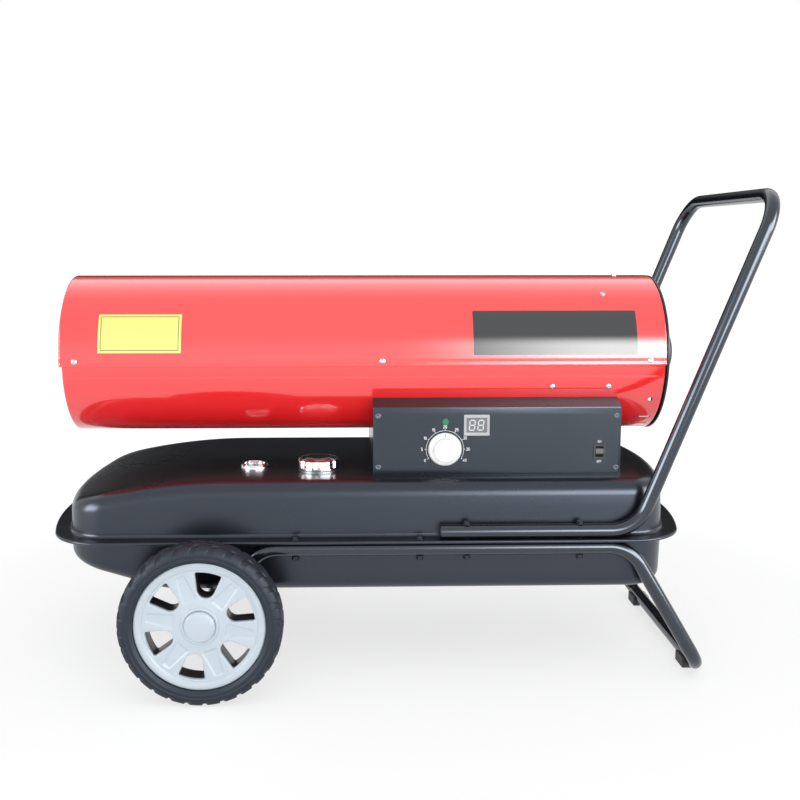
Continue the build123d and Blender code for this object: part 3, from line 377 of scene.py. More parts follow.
motor_grey = sprayed("motor enamel", (0.055, 0.060, 0.070), rough=0.42, coat=0.15, peel_size=2.0)
print("paints", len(bpy.data.materials))

# %% [markdown]
# ## Bare metals
# Zinc, chrome and alloy differ in roughness and tint more than in pattern. Turned or drawn steel has
# fine lines along one direction, made by stretching the noise. The fire tube is special: heat has
# run straw and blue bands over it, strongest near the burner.


# %% Metals
def metal(name, colour, rough=0.25, lines=None, wear=0.15, relief=0.004):
    bare = Finish(name)
    patches = bare.clouds(20, 4.0, 0.6)
    grain = bare.clouds(1.2, 2.0, 0.5, lines) if lines else bare.clouds(1.5, 2.0)
    shade = bare.mix(patches * wear * 2, colour, [c * 0.62 for c in colour])
    roughness = rough + (patches - 0.5) * 0.18 + (grain - 0.5) * 0.08
    return bare.done(
        Base_Color=shade,
        Metallic=1.0,
        Roughness=roughness.clamped(0.04, 0.9),
        Normal=bare.relief(grain, relief),
    )


chrome = metal("chrome", (0.82, 0.82, 0.84), rough=0.09, wear=0.05, relief=0.0006)
zinc = metal("zinc plate", (0.60, 0.61, 0.63), rough=0.32, lines=(1, 0.06, 1))
turned_steel = metal("turned steel", (0.52, 0.52, 0.54), rough=0.26, lines=(1, 0.05, 1))
cast_alloy = metal("cast alloy", (0.56, 0.57, 0.58), rough=0.46, wear=0.2, relief=0.03)
fan_alloy = metal("rolled alloy", (0.70, 0.71, 0.72), rough=0.30, lines=(0.08, 1, 1))
brass = metal("brass", (0.66, 0.46, 0.20), rough=0.28)
copper = metal("copper pipe", (0.72, 0.36, 0.22), rough=0.30)


def heat_tinted():
    steel = Finish("heat tinted steel")
    along = steel.axis("X")
    bands = (along * 3.0 + steel.clouds(120, 3.0) * 0.55).between(-1.4, 0.5)
    stops = [(0.0, (0.20, 0.17, 0.15)), (0.3, (0.30, 0.24, 0.17)), (0.52, (0.42, 0.29, 0.13)),
             (0.66, (0.20, 0.12, 0.20)), (0.78, (0.11, 0.15, 0.30)), (1.0, (0.36, 0.36, 0.36))]
    tint = steel.node("ShaderNodeValToRGB", {"stops": stops}, {0: bands})
    soot = steel.clouds(35, 5.0, 0.65).between(0.45, 0.8)
    grain = steel.clouds(1.2, 2.0, 0.5, (0.06, 1, 1))
    return steel.done(
        Base_Color=steel.mix(soot * 0.6, tint, (0.035, 0.032, 0.03)),
        Metallic=0.85,
        Roughness=(0.36 + soot * 0.3 + (grain - 0.5) * 0.1).clamped(),
        Normal=steel.relief(grain, 0.01),
    )


fire_steel = heat_tinted()
print("metals ready")

# %% [markdown]
# ## Rubber, plastics and glass
# The tyre is a dark, faintly blue rubber that drifts a little in depth. The wheel is a satin
# blue-grey moulding, the dial a clean white one, and the small switches are plain black. The gauge
# lens lets light through, and the lamp glows a little.


# %% Rubber, plastics, ceramic, felt and glass
def moulded(name, colour, rough=0.4, grain_size=0.8, grain=0.01, drift=0.04, grime=0.1, coat=0.0,
            mirror=(1, 1, 1), shine=0.5):
    plastic = Finish(name)
    fine = plastic.clouds(grain_size, 2.0)
    slow = plastic.clouds(70, 3.0)
    marks = plastic.clouds(18, 5.0, 0.7).between(0.55, 0.85)
    shade = plastic.mix(slow, [c * (1 - drift) for c in colour], [min(1, c * (1 + drift)) for c in colour])
    return plastic.done(
        Base_Color=plastic.mix(marks * grime, shade, (0.12, 0.11, 0.10)),
        Roughness=(rough + (slow - 0.5) * 0.12 + marks * 0.08).clamped(),
        Coat_Weight=coat,
        Specular_Tint=mirror,
        Specular_IOR_Level=shine,
        Normal=plastic.relief(fine, grain),
    )


tyre_rubber = moulded("tyre rubber", (0.015, 0.019, 0.027), rough=0.50, grain_size=1.4, grain=0.06,
                      drift=0.15, grime=0.0, mirror=COOL, shine=0.35)
hose_rubber = moulded("black rubber", (0.020, 0.020, 0.022), rough=0.55, grain=0.02)
wheel_plastic = moulded("blue-grey moulding", (0.49, 0.555, 0.61), rough=0.38, grain_size=1.0, grain=0.012,
                        grime=0.05)
dial_white = moulded("white moulding", (0.90, 0.90, 0.89), rough=0.30, grain=0.004, grime=0.03, coat=0.2)
black_plastic = moulded("black moulding", (0.018, 0.018, 0.020), rough=0.38, grain=0.012)
board_green = moulded("green laminate", (0.02, 0.11, 0.05), rough=0.35, grain=0.01)
ceramic = moulded("glazed ceramic", (0.78, 0.76, 0.70), rough=0.18, grain=0.004, coat=0.4)
felt = moulded("felt", (0.40, 0.37, 0.32), rough=0.9, grain_size=1.2, grain=0.25, drift=0.15)


def clear(name, colour):
    glass = Finish(name)
    smears = glass.clouds(14, 4.0)
    return glass.done(Base_Color=colour, Roughness=(0.03 + smears * 0.05).clamped(), Transmission_Weight=1.0,
                      IOR=1.47)


def glowing(name, colour, strength):
    lamp = Finish(name)
    cells = lamp.clouds(2.0, 2.0)
    return lamp.done(
        Base_Color=lamp.mix(cells, [c * 0.8 for c in colour], colour),
        Roughness=0.22,
        Emission_Color=colour,
        Emission_Strength=strength,
        Normal=lamp.relief(cells, 0.01),
    )


display_grey = moulded("display frame", (0.42, 0.44, 0.46), rough=0.35, grain=0.004, grime=0.03)
figure_white = moulded("display figures", (0.60, 0.62, 0.61), rough=0.30, grain=0.002, grime=0.0)
screen_grey = moulded("display screen", (0.16, 0.17, 0.18), rough=0.22, grain=0.002, grime=0.0, coat=0.3)
yellow_print = moulded("yellow print", (0.80, 0.79, 0.20), rough=0.34, grain=0.004, grime=0.05, coat=0.3)
dark_print = moulded("dark print", (0.016, 0.017, 0.019), rough=0.12, grain=0.001, grime=0.0, coat=1.0)
lens_clear = clear("clear lens", (0.97, 0.98, 0.98))
lamp_green = glowing("green lamp", (0.012, 0.20, 0.085), 0.25)
print("materials", len(bpy.data.materials))

# %% [markdown]
# ## Dress the engineering pieces
# Small inner parts already have the right form, so they keep their engineering meshes and only get a
# finish. Doing this for every node first means that nothing can be left in plain grey, whichever
# pieces are modelled more finely later.

# %% A finish for every node
FINISHES = [
    (red_enamel, "upper_shell lower_shell"),
    (black_enamel, "tank_upper tank_lower rear_guard"),
    (tube_enamel, "handle lower_frame"),
    (box_powder, "control_housing control_panel"),
    (bolt_black, "frame_bolts frame_nuts panel_screws"),
    (zinc, "shell_screws axle_clips motor_mount filler_neck pressure_screw"),
    (turned_steel, "axle motor_shaft thermostat_shaft"),
    (fire_steel, "combustion_chamber flame_deflector burner_head"),
    (cast_alloy, "pump_body pump_end_cover pump_rotor gauge_pointer"),
    (motor_grey, "motor_body"),
    (fan_alloy, "fan"),
    (chrome, "fuel_cap gauge_body"),
    (brass, "spray_nozzle fuel_pickup drain_plug"),
    (copper, "air_pipe fuel_pipe"),
    (ceramic, "igniter_electrodes"),
    (hose_rubber, "cap_gasket foot_pads cord_gland"),
    (tyre_rubber, "tyre_left tyre_right"),
    (wheel_plastic, "wheel_left wheel_right hub_cap_left hub_cap_right"),
    (dial_white, "knob"),
    (lamp_green, "power_lamp"),
    (black_plastic, "switch_body switch_rocker thermostat overheat_switch flame_sensor"),
    (black_plastic, "ignition_transformer filter_cover display_module"),
    (board_green, "circuit_board"),
    (felt, "air_filter gauge_float"),
    (lens_clear, "gauge_lens"),
]
for finish, names in FINISHES:
    for name in names.split():
        nodes[name].data.materials.clear()
        nodes[name].data.materials.append(finish)
undressed = set(nodes) - set(" ".join(names for _, names in FINISHES).split())
print("dressed", len(nodes) - len(undressed), "left", sorted(undressed))

# %% [markdown]
# ## The barrel
# The barrel is two rolled sheets of thin steel. The lower one is a trough, the upper one is laid over
# it and its edges reach a little below the middle, where self-tapping screws hold the two together.
# Both ends are folded inwards so that no raw edge faces the user. The sheet is drawn as the section
# of the real sheet, with its thickness, and set up at one angle after another about the long axis.
# Slots and holes are cut last, and the rolled faces then get the normals of the true round form.

# %% Rolled sheets with folded ends
SHELL_R, LOWER_R, SHELL_HALF, AXIS_Z, SHEET = 132.0, 130.65, 488.0, 508.0, 1.2
SEAM_DEG, CREASE_DEG, LAP_DEG, PRESS_DEG, PRESSED = -3.3, -0.8, -2.2, -12.5, 0.55
FACES_OUT, ON_SHEET = 0.97, 2.6  # which corners belong to the rolled faces: by direction, and by distance


def around_barrel(x, angle, r):
    """Point at `angle` degrees above level on the control side, `r` from the barrel's axis."""
    a = math.radians(angle)
    return np.array([x, -r * math.cos(a), AXIS_Z + r * math.sin(a)])


def sheet_section(x0, x1, r, fold, bend=3.8, spacing=24):
    """Closed (x, r) outline of a sheet whose two ends are folded towards the axis."""
    def side(t):
        flat = [(x, r - t) for x in np.linspace(x0 + bend, x1 - bend, int((x1 - x0) / spacing))[1:-1]]
        return ([(x0 + t, r - fold)] + oval(x0 + bend, r - bend, bend - t, bend - t, 180, 90, 7) + flat
                + oval(x1 - bend, r - bend, bend - t, bend - t, 90, 0, 7) + [(x1 - t, r - fold)])
    return side(0.0) + side(SHEET)[::-1]


def cut(obj, cutters):
    """Cuts closed forms out of a piece, once, and keeps the result."""
    tool = placed("cutter", closed_mesh("cutter", joined(cutters), weld=False))
    boolean = obj.modifiers.new("cut", "BOOLEAN")
    boolean.operation, boolean.object, boolean.solver = "DIFFERENCE", tool, "EXACT"
    bpy.context.view_layer.update()
    shaped = bpy.data.meshes.new_from_object(obj.evaluated_get(bpy.context.evaluated_depsgraph_get()))
    obj.modifiers.remove(boolean)
    obj.data = shaped
    bpy.data.objects.remove(tool)


def true_round(obj, radius, raised):
    """Gives the barrel's curved faces the normals of the true rolled form, also beside a cut."""
    mesh = obj.data
    normals = [None] * len(mesh.loops)
    for poly in mesh.polygons:
        for loop in poly.loop_indices:
            p = mesh.vertices[mesh.loops[loop].vertex_index].co
            out = Vector((0, p.y, p.z - AXIS_Z * MM))
            straight = out.normalized()
            if abs(poly.normal.dot(straight)) > FACES_OUT and abs(out.length - radius * MM) < ON_SHEET * MM:
                angle = math.degrees(math.atan2(straight.z, abs(straight.y)))
                slope = (raised(angle + 0.2) - raised(angle - 0.2)) / (math.radians(0.4) * radius)
                along = Vector((0, -math.copysign(1, p.y) * straight.z, abs(straight.y)))
                straight = (straight - along * slope).normalized()
                normals[loop] = straight * (1 if poly.normal.dot(straight) > 0 else -1)
            else:
                normals[loop] = mesh.corner_normals[loop].vector.copy()
    mesh.normals_split_custom_set(normals)


def slot_form(x, angle, length, width):
    """A round-ended bar that stands on the barrel and cuts a slot through the sheet."""
    reach, w = (length - width) / 2, width / 2
    outline = oval(reach, 0, w, w, -90, 90, 9) + oval(-reach, 0, w, w, 90, 270, 9)
    a = math.radians(angle)
    out, across = np.array([0, -math.cos(a), math.sin(a)]), np.array([0, math.sin(a), math.cos(a)])
    return solid([[np.array([x + u, 0, AXIS_Z]) + out * r + across * v for u, v in outline]
                  for r in (SHELL_R - 14, SHELL_R + 13)])


def flared(angle):
    """The upper sheet stands off a little below its crease, so that it laps over the lower one."""
    return ramp((CREASE_DEG - angle) / (CREASE_DEG - LAP_DEG))


def joggled(angle):
    """The lower sheet is pressed in where it runs under the upper one; the press leaves a soft step."""
    return -PRESSED * ramp((angle - PRESS_DEG) / 1.5) * (1.0 if angle < -4.0 else 0.6)


def shell(name, x0, x1, r, fold, angles, raised):
    """A rolled sheet: its section stands at each angle above level, `raised` says how far off."""
    rings = []
    for angle in angles:
        a = math.radians(angle)
        x, out = np.array(sheet_section(x0, x1, r + raised(angle if angle <= 90 else 180 - angle), fold)).T
        rings.append(np.stack([x, -out * math.cos(a), AXIS_Z + out * math.sin(a)], axis=1))
    return piece(name, solid(rings), red_enamel, smooth=30)


edge = [SEAM_DEG, -2.8, LAP_DEG, -1.5, CREASE_DEG, -0.3, 0.5]
upper = shell("upper_shell", -SHELL_HALF, SHELL_HALF, SHELL_R, 5.6,
              edge + list(np.linspace(3, 177, 142)) + [180 - a for a in edge[::-1]], flared)
true_round(upper, SHELL_R, flared)
step = [4.0, 2.0, 0.0, -2.0, -3.5, -4.0, -4.5, -6.0, -8.0, -10.0, -10.8, -11.0, -11.4, -11.8, -12.1, -12.5,
        -12.7]
lower = shell("lower_shell", -483.6, 486.6, LOWER_R, 4.6,
              step + list(np.linspace(-14, -166, 124)) + [-180 - a for a in step[::-1]], joggled)
# eight air slots and two screw holes at the fan end, and three round holes down into the box
slots = [slot_form(462.5, a, 31, 3.4) for a in (-50.3, -61.1, -71.9, -82.7, -97.3, -108.1, -118.9, -129.7)]
slots += [slot_form(467.6, a, 8.0, 7.99) for a in (-30.6, -149.4)]
for x, y in ((150, 16), (372, 16), (150, -16)):
    slots.append(slot_form(x, -90 + math.degrees(math.asin(y / 130)), 15.0, 14.99))
cut(lower, slots)
true_round(lower, LOWER_R, joggled)
print("barrel faces", len(upper.data.polygons), len(lower.data.polygons))

# %% [markdown]
# ## The stamped tank
# Two deep-drawn halves meet at a flange, and the upper one is folded round the lower one's edge. A
# deep-drawn form is one smooth skin: seen from above every level of it is the same rounded outline,
# only drawn in further. So the outline is laid out once, with the direction in which it shrinks, and
# a stack of such loops follows the section from the roof down the wall to the flange and back up
# inside. The roof falls away towards the nose, and a ball of constant radius is rolled between roof
# and wall to find the soft shoulder that catches the light.

# %% Outline of the tank, with the direction in which it shrinks
TANK_X, TANK_HALF, TANK_SIDE, END_R, CORNER_R = 5.0, 522.0, 220.0, 572.0, 90.0
MIDDLE_Z, WALL_IN, DRAFT, TANK_SHEET = 236.0, 26.0, math.radians(1.7), 1.5


def tank_outline(step=9.0):
    """Points and outward directions, once round the flange."""
    corner_y, end_in = TANK_SIDE - CORNER_R, TANK_HALF - END_R
    reach = math.sqrt((END_R - CORNER_R) ** 2 - corner_y ** 2)
    lean = math.degrees(math.atan2(corner_y, reach))
    right, left = TANK_X + end_in + reach, TANK_X - end_in - reach
    far = [(right, corner_y, CORNER_R, a) for a in np.linspace(lean, 90, 22)]
    far += [(x, corner_y, CORNER_R, 90) for x in np.linspace(right, left, int((right - left) / step))[1:-1]]
    far += [(left, corner_y, CORNER_R, a) for a in np.linspace(90, 180 - lean, 22)]
    spots = [(TANK_X + end_in, 0, END_R, a) for a in np.linspace(-lean, lean, 31)[:-1]] + far
    spots += [(TANK_X - end_in, 0, END_R, a) for a in np.linspace(180 - lean, 180 + lean, 31)[1:-1]]
    spots += [(x, -y, r, -a) for x, y, r, a in far[:0:-1]]
    x, y, r, a = np.array(spots).T
    outward = np.stack([np.cos(np.radians(a)), np.sin(np.radians(a)), 0 * a], axis=1)
    return np.stack([x, y, 0 * x], axis=1) + r[:, None] * outward, outward


OUTLINE, OUTWARD = tank_outline()


def loop_at(inset, z):
    return OUTLINE - OUTWARD * inset + np.array([0, 0, z])


print("tank outline", len(OUTLINE), "points")

# %% Roof and floor of the tank as functions of x
ROOF_Z, ROOF_R, ROOF_BEND, ROOF_BALL = 324.5, 990.0, -213.0, 24.0
FLOOR_Z, SLOPE_X, SLOPE, FLOOR_BALL, FLOOR_BEND_R = 149.0, -315.0, math.radians(17), 21.0, 150.0
SPINE = 330.0  # the flat middle of roof and floor shrinks to a line of this half length


def roof(x, t):
    """Height and outward direction of the roof, `t` millimetres inside its skin."""
    if x >= ROOF_BEND:
        return ROOF_Z - t, np.array([0, 0, 1.0])
    run = x - ROOF_BEND
    rise = math.sqrt((ROOF_R - t) ** 2 - run ** 2)
    return ROOF_Z - ROOF_R + rise, np.array([run, 0, rise]) / (ROOF_R - t)


def floor_level(x, t):
    """The same for the floor, which rises to the nose behind a soft bend."""
    bend_x, bend_z = SLOPE_X + FLOOR_BEND_R * math.tan(SLOPE / 2), FLOOR_Z + FLOOR_BEND_R
    r = FLOOR_BEND_R - t
    if x >= bend_x:
        return FLOOR_Z + t, np.array([0, 0, -1.0])
    if x >= bend_x - r * math.sin(SLOPE):
        run = x - bend_x
        fall = math.sqrt(r ** 2 - run ** 2)
        return bend_z - fall, np.array([run, 0, -fall]) / r
    slope_x, slope_z = bend_x - r * math.sin(SLOPE), bend_z - r * math.cos(SLOPE)
    return slope_z + math.tan(SLOPE) * (slope_x - x), np.array([-math.sin(SLOPE), 0, -math.cos(SLOPE)])


def bulge(surface, ball, up, t, steps):
    """Loops from the middle of the roof or floor, round the rolled shoulder, down the wall."""
    shoulder = []
    for p, n in zip(OUTLINE, OUTWARD):
        inset = WALL_IN + ball
        for _ in range(12):
            here = p - n * inset
            here[2] = surface(here[0], ball)[0]
            inset = WALL_IN + ball / math.cos(DRAFT) + abs(here[2] - MIDDLE_Z) * math.tan(DRAFT)
        centre = p - n * inset
        roof_n = surface(centre[0], ball)[1]
        centre[2] = here[2]
        wall_n = n * math.cos(DRAFT) + np.array([0, 0, up * math.sin(DRAFT)])
        swing = math.acos(max(-1, min(1, float(roof_n @ wall_n))))
        shoulder.append([])
        for f in np.linspace(0, 1, steps):
            mixed = (math.sin((1 - f) * swing) * roof_n + math.sin(f * swing) * wall_n) / math.sin(swing)
            shoulder[-1].append(centre + (ball - t) * mixed)
    shoulder = np.array(shoulder).swapaxes(0, 1)
    cap = []
    for f in np.linspace(0, 1, steps)[:-1]:
        ring = []
        for p in shoulder[0]:
            spine = np.array([max(-SPINE, min(SPINE, p[0])), 0.0, 0.0])
            q = spine + (p - spine) * f
            q[2] = surface(q[0], t)[0]
            ring.append(q)
        cap.append(np.array(ring))
    walls = []
    for f in (1 / 3, 2 / 3):
        z = shoulder[-1][:, 2] * (1 - f) + (MIDDLE_Z + up * 8) * f
        ring = OUTLINE - OUTWARD * (WALL_IN + t + np.abs(z - MIDDLE_Z) * math.tan(DRAFT))[:, None]
        ring[:, 2] = z
        walls.append(ring)
    return cap + list(shoulder) + walls


print("roof", roof(TANK_X, 0)[0], "floor", floor_level(TANK_X, 0)[0])

# %% The two halves and their folded flange
def half_tank(name, surface, ball, up, lip):
    """One closed section: outer skin, a lip of (inset, z) spots, inner skin."""
    outer, inner = bulge(surface, ball, up, 0.0, 9), bulge(surface, ball, up, TANK_SHEET, 5)
    rings = outer + [loop_at(inset, z) for inset, z in lip] + inner[::-1]
    return piece(name, skin(rings), black_enamel, smooth=40)


def bore(centre, r, z0, z1):
    return solid(stacked([(r, z0), (r, z1)], full_turn(48), centre))


FILLER, GAUGE, PICKUP, DRAIN = (-76.0, -97.0), (-183.0, -82.0), (230.0, 60.0), (380, 0)
folded_lip = [(WALL_IN + 0.15, 243.1), *oval(20.9, 243.0, 5.0, 5.0, 0, -90, 6), (12, 238.0),
              *oval(2.6, 235.4, 2.6, 2.6, 90, 270, 11), (6, 232.8), (6.0, 233.9), (1.6, 233.9), (1.6, 236.1),
              (WALL_IN + 1.6, 236.1)]
tank_top = half_tank("tank_upper", roof, ROOF_BALL, 1, folded_lip)
cut(tank_top, [bore(at, r, 300, 340) for at, r in ((FILLER, 25.5), (GAUGE, 17.5), (PICKUP, 9.5))])
plain_lip = [(WALL_IN + 0.1, 230.0), *oval(22.3, 230.2, 3.8, 3.8, 0, 90, 6), (12, 234.0), (1.9, 234.0),
             (1.9, 235.9), (WALL_IN + 1.5, 235.9)]
tank_base = half_tank("tank_lower", floor_level, FLOOR_BALL, -1, plain_lip)
cut(tank_base, [bore(DRAIN, 8.3, 140, 160)])
print("tank faces", len(tank_top.data.polygons), len(tank_base.data.polygons))

# %% [markdown]
# ## The tube frame
# Handle and undercarriage are each one steel tube, bent on a former. The bends of such a tube have
# one clean radius and the tube stays round, so a circle is carried along straight runs joined by
# arcs. The two ends of the handle are shut with a small plug that sits just inside the rim.

# %% Handle and undercarriage
TUBE_R, TUBE_Y, HANDLE_Z, RAIL_Z = 11.0, 207.0, 249.05, 222.8
GRIP, CORNER, BAR = (628.013, 770.0), (423.896, HANDLE_Z), (536.0, 17.0)
AXLE, WHEEL_Y = (-251.4, 125.0), 259.0
RIM = ((1.6, -2.0), (0.3, -1.9), (0.0, -1.4), (0.0, -0.6), (0.6, 0.0))  # (how far in, change of radius)


def both_sides(side):
    return [(x, -TUBE_Y, z) for x, z in side] + [(x, TUBE_Y, z) for x, z in reversed(side)]


def tube_with_plugs(path, r):
    """A tube whose ends have a rounded rim and a plug a little inside."""
    path = [np.asarray(p, float) for p in path]
    into = unit(path[1] - path[0]), unit(path[-2] - path[-1])
    start, end = ([(at + way * deep, r + less) for deep, less in RIM]
                  for at, way in zip((path[0], path[-1]), into))
    stations = start + [(p, r) for p in path[1:-1]] + end[::-1]
    bends = [unit(stations[i + 1][0] - stations[i - 1][0]) for i in range(len(start), len(stations) - len(end))]
    return swept(stations, [into[0]] * len(start) + bends + [-into[1]] * len(end), np.array([0, 1.0, 0]), 36)


handle_path = rounded_path(both_sides([(116, HANDLE_Z), CORNER, GRIP]), [60] * 4)
piece("handle", tube_with_plugs(handle_path, TUBE_R), tube_enamel, smooth=40)
rail_path = rounded_path(both_sides([AXLE, (-160, RAIL_Z), (414, RAIL_Z), BAR]), [50, 60, 45, 45, 60, 50])
parts = [tube_with_plugs(rail_path, TUBE_R)]
half_sleeve = [(-12.4, 8.2), (-13, 8.8), (-13, 13.4), (-12.4, 14)]
sleeve = half_sleeve + [(-along, r) for along, r in half_sleeve[::-1]]
for s in (-1, 1):
    parts.append(lathe([(s * (TUBE_Y + along), r) for along, r in sleeve], 48, "Y", (AXLE[0], 0, AXLE[1])))
piece("lower_frame", joined(parts), tube_enamel, smooth=40)
print("tubes", len(handle_path), len(rail_path))

# %% [markdown]
# ## Tyres
# The tread is what makes a tyre read as a tyre. Its cross section is swept round the axle in small
# steps, and the steps are grouped into pitches: each pitch is one block and one gap. The angle of
# every point is slanted by its distance from the middle, which turns straight gaps into a chevron.

# %% Tyres with a slanted block tread
PITCHES, TREAD_DEEP, SLANT = 28, 2.6, 0.0052


def on_wheel(form, side):
    """Wheel coordinates (forward, up, outwards) to the heater's, for the -1 or +1 side."""
    forward, up, out = np.asarray(form[0], float).T
    return np.stack([AXLE[0] + forward, side * (WHEEL_Y + out), AXLE[1] + up], axis=1), form[1]


def tyre_form():
    half = [(0, 125), (3.6, 125), (4.3, 124.6), (4.8, 122), (6.4, 122), (6.9, 124.5), (7.6, 125), (12, 124.9),
            (16, 124.2), (19.5, 122.6), (22.2, 119.6), (23.6, 116.2), (24.3, 112.6), (24.9, 112.2),
            (25.0, 111.4), (24.6, 110.8), (24.6, 107.4), (24.9, 106.6), (24.3, 104.4), (23.0, 102.4),
            (22.2, 101.6), (21.4, 99.9)]
    rings = []
    for pitch in range(PITCHES):
        for phase in (0.0, 0.03, 0.07, 0.30, 0.56, 0.60, 0.63, 0.70, 0.90, 0.97):
            gap = ramp((phase - 0.60) / 0.03) * ramp((1.0 - phase) / 0.03)
            ring = []
            for w, r in half + [(-w, r) for w, r in half[:0:-1]]:
                reach = ramp((abs(w) - 7.2) / 0.5) * ramp((24.2 - abs(w)) / 2.5)
                turn = (pitch + phase + (0.5 if w < 0 else 0.0)) / PITCHES * 2 * math.pi + abs(w) * SLANT
                level = r - TREAD_DEEP * gap * reach * (r > 115)
                ring.append((level * math.cos(turn), level * math.sin(turn), w))
            rings.append(ring)
    return skin(rings + rings[:1])


SIDES = ((-1, "left"), (1, "right"))
tyre = tyre_form()
for side, hand in SIDES:
    piece("tyre_" + hand, on_wheel(tyre, side), tyre_rubber, "wheel_" + hand, smooth=38)
print("tyre faces", len(tyre[1]))

# %% [markdown]
# ## Wheels
# The wheel is a dark moulding with a pale cover pressed into it. The cover has six windows, each with
# a raised border, and shallow panels between them. A face with holes is easiest to draw as nested
# outlines: every outline has its own height, and a constrained triangulation fills the rings between
# them. Rounded edges come from outlines that lie closely side by side.

# %% Covers, cores and hub caps
def wedge(inner, corner_in, spread, reach, corner_out, steps=9):
    """A rounded wedge, as points and outward directions; `inner` is its inner corner's centre."""
    lean = math.radians(spread)
    n, s = np.array([-math.sin(lean), math.cos(lean)]), np.array([math.cos(lean), math.sin(lean)])
    gap = float(n @ inner) + corner_in - corner_out
    outer = gap * n + s * math.sqrt((reach - corner_out) ** 2 - gap ** 2)
    end = math.degrees(math.atan2(outer[1], outer[0]))
    half = [(inner, corner_in, a) for a in np.linspace(180, 90 + spread, steps + 3)]
    for f in (0.35, 0.7):
        r = corner_in * (1 - f) + corner_out * f
        half.append((np.asarray(inner) * (1 - f) + outer * f, r, 90 + spread))
    half += [(outer, corner_out, a) for a in np.linspace(90 + spread, end, steps)]
    half += [((0, 0), reach, a) for a in np.linspace(end, 0, steps)[1:]]
    half += [((c[0], -c[1]), r, -a) for c, r, a in half[-2:0:-1]]
    angles = np.radians([a for _, _, a in half])
    out = np.stack([np.cos(angles), np.sin(angles)], axis=1)
    return np.array([c for c, _, _ in half]) + np.array([[r] for _, r, _ in half]) * out, out


def plate(loops, r0, r1, rim_height, holes):
    """Fills nested (outline, height) loops between radius r0 and r1, leaving out the `holes` outlines."""
    points, heights, edges = [], [], []
    for outline, height in loops + [(circle(r0), rim_height), (circle(r1), rim_height)]:
        start = len(points)
        points += [tuple(p) for p in outline]
        heights += [height] * len(outline)
        edges += [(start + i, start + (i + 1) % len(outline)) for i in range(len(outline))]
    flat, _, triangles, origin, _, _ = delaunay_2d_cdt([Vector(p) for p in points], edges, [], 0, 1e-4)
    level = [heights[o[0]] if o else 0.0 for o in origin]
    kept = []
    for tri in triangles:
        mid = sum((Vector(flat[i]) for i in tri), Vector((0, 0))) / 3
        if r0 < mid.length < r1 and not any(inside(mid, h) for h in holes):
            kept.append(tuple(tri))
    return [(p[0], p[1], z) for p, z in zip(flat, level)], kept


def inside(point, outline):
    x, y = point
    odd = False
    for (x0, y0), (x1, y1) in zip(outline, np.roll(outline, -1, axis=0)):
        if (y0 > y) != (y1 > y) and x < (x1 - x0) * (y - y0) / (y1 - y0) + x0:
            odd = not odd
    return odd


def circle(r, count=120):
    turn = full_turn(count)
    return np.stack([r * np.cos(turn), r * np.sin(turn)], axis=1)


WINDOW, PANEL = wedge((57.5, 0.0), 13.4, 15.5, 83.5, 2.6), wedge((43.0, 8.6), 4.0, -7.0, 83.0, 4.0)
WINDOW_AT, PANEL_AT = range(20, 380, 60), range(50, 410, 60)
WINDOW_RIM = ((0.0, 13.5), (0.25, 14.3), (0.8, 14.85), (1.7, 15.0))
PANEL_DIP = ((0.0, 15.0), (-0.7, 14.85), (-1.5, 14.35), (-2.3, 13.75), (-3.1, 13.4), (-4.0, 13.3))


def spread_out(form, out, degrees):
    """A wedge's outline, `out` millimetres wider and turned about the axle."""
    return turned_by(form[0] + form[1] * out, degrees)


def tunnel(degrees, stations):
    """A wall round one window, through (how much wider, how far outwards) stations."""
    return skin([np.insert(spread_out(WINDOW, wider, degrees), 2, out, axis=1) for wider, out in stations])


windows = [spread_out(WINDOW, 0.0, d) for d in WINDOW_AT]
cover_loops = []
for window_at, panel_at in zip(WINDOW_AT, PANEL_AT):
    cover_loops += [(spread_out(WINDOW, out, window_at), height) for out, height in WINDOW_RIM]
    cover_loops += [(spread_out(PANEL, out, panel_at), height) for out, height in PANEL_DIP]
ring_form = [(13, 86.6), (15.2, 86.8), (16.0, 87.4), (16.9, 90), (17.6, 94), (17.8, 97), (17.5, 98.6),
             (16.6, 99.4), (14.0, 99.6), (12.6, 99.6), (12.6, 96)]
hub_form = [(14.0, 22.5), (16.4, 24.6), (16.9, 25.2), (17.0, 26.5), (16.9, 27.8), (16.5, 28.7), (15.6, 29.4),
            (14.0, 30.4)]
cap_form = [(17.1, 24.3), (18.6, 24.2), (19.9, 23.6), (20.9, 22.4), (21.6, 20.4), (22.3, 16), (22.9, 10),
            (23.15, 5), (23.2, 0), (14.6, 0), (14.6, 19.9), (17.1, 19.9)]
barrel_form = [(13.0, 92.6), (13.0, 98.4), (-18.8, 98.4), (-19.6, 97.6), (-19.9, 95.5), (-19.6, 93),
               (-18.8, 92.2), (-10, 91.8)]
tube_form = [(11, 8.4), (11, 24), (-19, 24), (-21.3, 23.6), (-21.9, 22.6), (-21.9, 10), (-21.4, 8.9),
             (-20.8, 8.4)]
lining = [(0.15, 9.9), (0.6, -18.4), (1.0, -19.2), (2.6, -19.2), (3.0, -18.4), (2.6, 3.6)]
cover = joined([plate(cover_loops, 25, 90, 15.0, windows)]
               + [tunnel(d, [(0.0, 13.5), (0.0, 9.8)]) for d in WINDOW_AT]
               + [lathe(ring_form, 120, "Z"), lathe(hub_form, 120, "Z")])
core = joined([plate([(w, 3.6) for w in windows], 23, 93, 3.6, windows), lathe(barrel_form, 120, "Z"),
               lathe(tube_form, 60, "Z")]
              + [tunnel(d, lining) for d in WINDOW_AT]
              + [prism(turned_by(corners(22, 93, -1.5, 1.5), d), -14, 4) for d in PANEL_AT])
cap = lathe(cap_form, 120, "Z")
